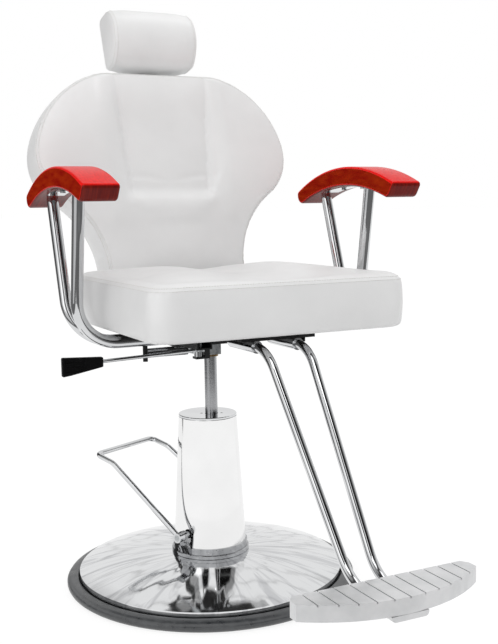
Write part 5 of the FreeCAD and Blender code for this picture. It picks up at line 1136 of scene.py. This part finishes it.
make_ring()
make_pad(-1, "right")
make_pad(1, "left")
make_seat()
make_back()
make_cover()
make_headrest()

# The studio

FLOOR_NEAR, FLOOR_FAR = -1.3, 80.0
CARD_RAD, CARD_FOOT, CARD_TOP, CARD_TURNS = 0.42, 0.065, 0.32, (-220.0, 5.0)
PALE, GREY = "E3E3E3", "686868"
ROOM_BANDS = [
    (-180, "9A9A9A"), (-171, "9A9A9A"), (-164, "F4F4F4"), (-150, "F4F4F4"), (-145, "101010"),
    (-123, "101010"), (-118, "F4F4F4"), (-103, "F4F4F4"), (-98, "0C0C0C"), (-42, "0C0C0C"),
    (-32, "8A8A8A"), (-14, "8A8A8A"), (0, PALE), (86, PALE), (104, "343434"), (150, "343434"),
    (160, "9A9A9A"), (180, "9A9A9A")]


def bare(name):
    """A material with no nodes yet, and its tree."""
    made = bpy.data.materials.new(name)
    made.use_nodes = True
    made.node_tree.nodes.clear()
    return made, made.node_tree


def studio_world():
    """White to the camera, pale behind the chair, and a dark room in front for mirrors to show.

    The room is seen by mirrors alone. Round the horizon it has dark and pale bands, such as
    strip lamps between dark walls leave, so that chrome shows its form, with level joints
    between panels. Below the horizon it is grey in front and pale behind, and overhead it is
    dark grey. The light on the objects is an even white.
    """
    world = bpy.data.worlds.new("studio")
    world.use_nodes = True
    tree = world.node_tree
    tree.nodes.clear()
    look = add(tree, "TexCoord").outputs["Generated"]
    axes = add(tree, "SeparateXYZ", {"Vector": look})
    turn = sums("ARCTAN2", axes.outputs["Y"], axes.outputs["X"])
    bands = add(tree, "ValToRGB", {"Fac": ranged(turn, 0, 1, -math.pi, math.pi)})
    stops = bands.color_ramp.elements
    stops.remove(stops[1])
    stops[0].position, stops[0].color = 0.0, colour(ROOM_BANDS[0][1])
    for degrees, code in ROOM_BANDS[1:]:
        stops.new((degrees + 180) / 360).color = colour(code)
    behind = add(tree, "VectorMath", {0: look, 1: (0.73, 0.68, 0)},
                 operation="DOT_PRODUCT").outputs["Value"]
    under = between(behind, GREY, PALE, 0.55, 0.75)
    lowered = add(tree, "Mix", {
        0: ranged(axes.outputs["Z"], 1, 0, -0.03, 0.07), 6: bands.outputs["Color"],
        7: under}, data_type="RGBA").outputs[2]
    panels = sums("SINE", sums("MULTIPLY", axes.outputs["Z"], 52.0), 0)
    joints = add(tree, "Mix", {
        0: ranged(panels, 0, 0.4, 0.85, 1.0), 6: lowered, 7: colour("8A8A8A")},
        data_type="RGBA").outputs[2]
    room = add(tree, "Mix", {
        0: ranged(axes.outputs["Z"], 0, 1, 0.85, 0.95), 6: joints, 7: colour("505050")},
        data_type="RGBA").outputs[2]
    path = add(tree, "LightPath")
    seen = add(tree, "Background", {"Color": (1, 1, 1, 1), "Strength": 1.0})
    mirrored = add(tree, "Background", {"Color": room, "Strength": 1.2})
    lit = add(tree, "Background", {"Color": (1, 1, 1, 1), "Strength": 0.83})
    glossy = sums("MAXIMUM", path.outputs["Is Glossy Ray"], path.outputs["Is Transmission Ray"])
    first = add(tree, "MixShader", {0: glossy, 1: lit.outputs[0], 2: mirrored.outputs[0]})
    both = add(tree, "MixShader", {0: path.outputs["Is Camera Ray"], 1: first.outputs[0],
                                   2: seen.outputs[0]})
    add(tree, "OutputWorld", {"Surface": both.outputs[0]})
    scene.world = world


def stage_piece(name, points, faces, material):
    """A piece of the stage from its points and faces."""
    piece = linked(name, points, faces)
    piece.data.materials.append(material)
    return piece


def pale_floor():
    """Plain floor: near white to the camera, with the chair's soft shadow, bright to mirrors."""
    made, tree = bare("pale_floor")
    path = add(tree, "LightPath")
    matt = add(tree, "BsdfDiffuse", {"Color": colour("E6E6E6")})
    bright = add(tree, "Emission", {"Color": (1, 1, 1, 1), "Strength": 1.17})
    mirrored = add(tree, "Emission", {"Color": (1, 1, 1, 1), "Strength": 0.97})
    share = sums("MULTIPLY", path.outputs["Is Camera Ray"], 0.72)
    first = add(tree, "MixShader", {0: share, 1: matt.outputs[0], 2: bright.outputs[0]})
    both = add(tree, "MixShader", {0: path.outputs["Is Glossy Ray"], 1: first.outputs[0],
                                   2: mirrored.outputs[0]})
    add(tree, "OutputMaterial", {"Surface": both.outputs[0]})
    near, far = FLOOR_NEAR, FLOOR_FAR
    stage_piece("floor", [(near, near, 0), (far, near, 0), (far, far, 0), (near, far, 0)],
                [(0, 1, 2, 3)], made)


def white_card():
    """A low white card bent round the front of the base, which only mirrors see."""
    made, tree = bare("white_card")
    bright = add(tree, "Emission", {"Color": (1, 1, 1, 1), "Strength": 1.0})
    add(tree, "OutputMaterial", {"Surface": bright.outputs[0]})
    turn = np.radians(np.linspace(*CARD_TURNS, 61))
    edge = np.stack([np.cos(turn), np.sin(turn), 0 * turn], -1) * CARD_RAD
    points = np.vstack([edge + (0, 0, CARD_FOOT), edge + (0, 0, CARD_TOP)])
    here = np.arange(len(turn) - 1)
    faces = np.stack([here, here + 1, here + 1 + len(turn), here + len(turn)], -1)
    card = stage_piece("white_card", points.tolist(), faces.tolist(), made)
    card.visible_camera = card.visible_diffuse = card.visible_shadow = False


def soft_lamp(name, spot, aim, size, power):
    """A square soft lamp that looks at a point."""
    light = bpy.data.lights.new(name, "AREA")
    light.size = size
    light.energy = power
    lamp = bpy.data.objects.new(name, light)
    lamp.location = spot
    lamp.rotation_euler = (Vector(aim) - Vector(spot)).to_track_quat("-Z", "Y").to_euler()
    scene.collection.objects.link(lamp)


studio_world()
pale_floor()
white_card()
soft_lamp("key_lamp", (-0.8, -1.3, 3.1), (0, 0, 0.6), 1.4, 11.0)
soft_lamp("top_lamp", (0.7, 0.3, 3.2), (0, -0.1, 0.6), 1.1, 7.0)
soft_lamp("side_lamp", (-2.6, -0.8, 1.0), (0, 0, 0.7), 2.4, 10.0)
scene.view_settings.view_transform = "Standard"
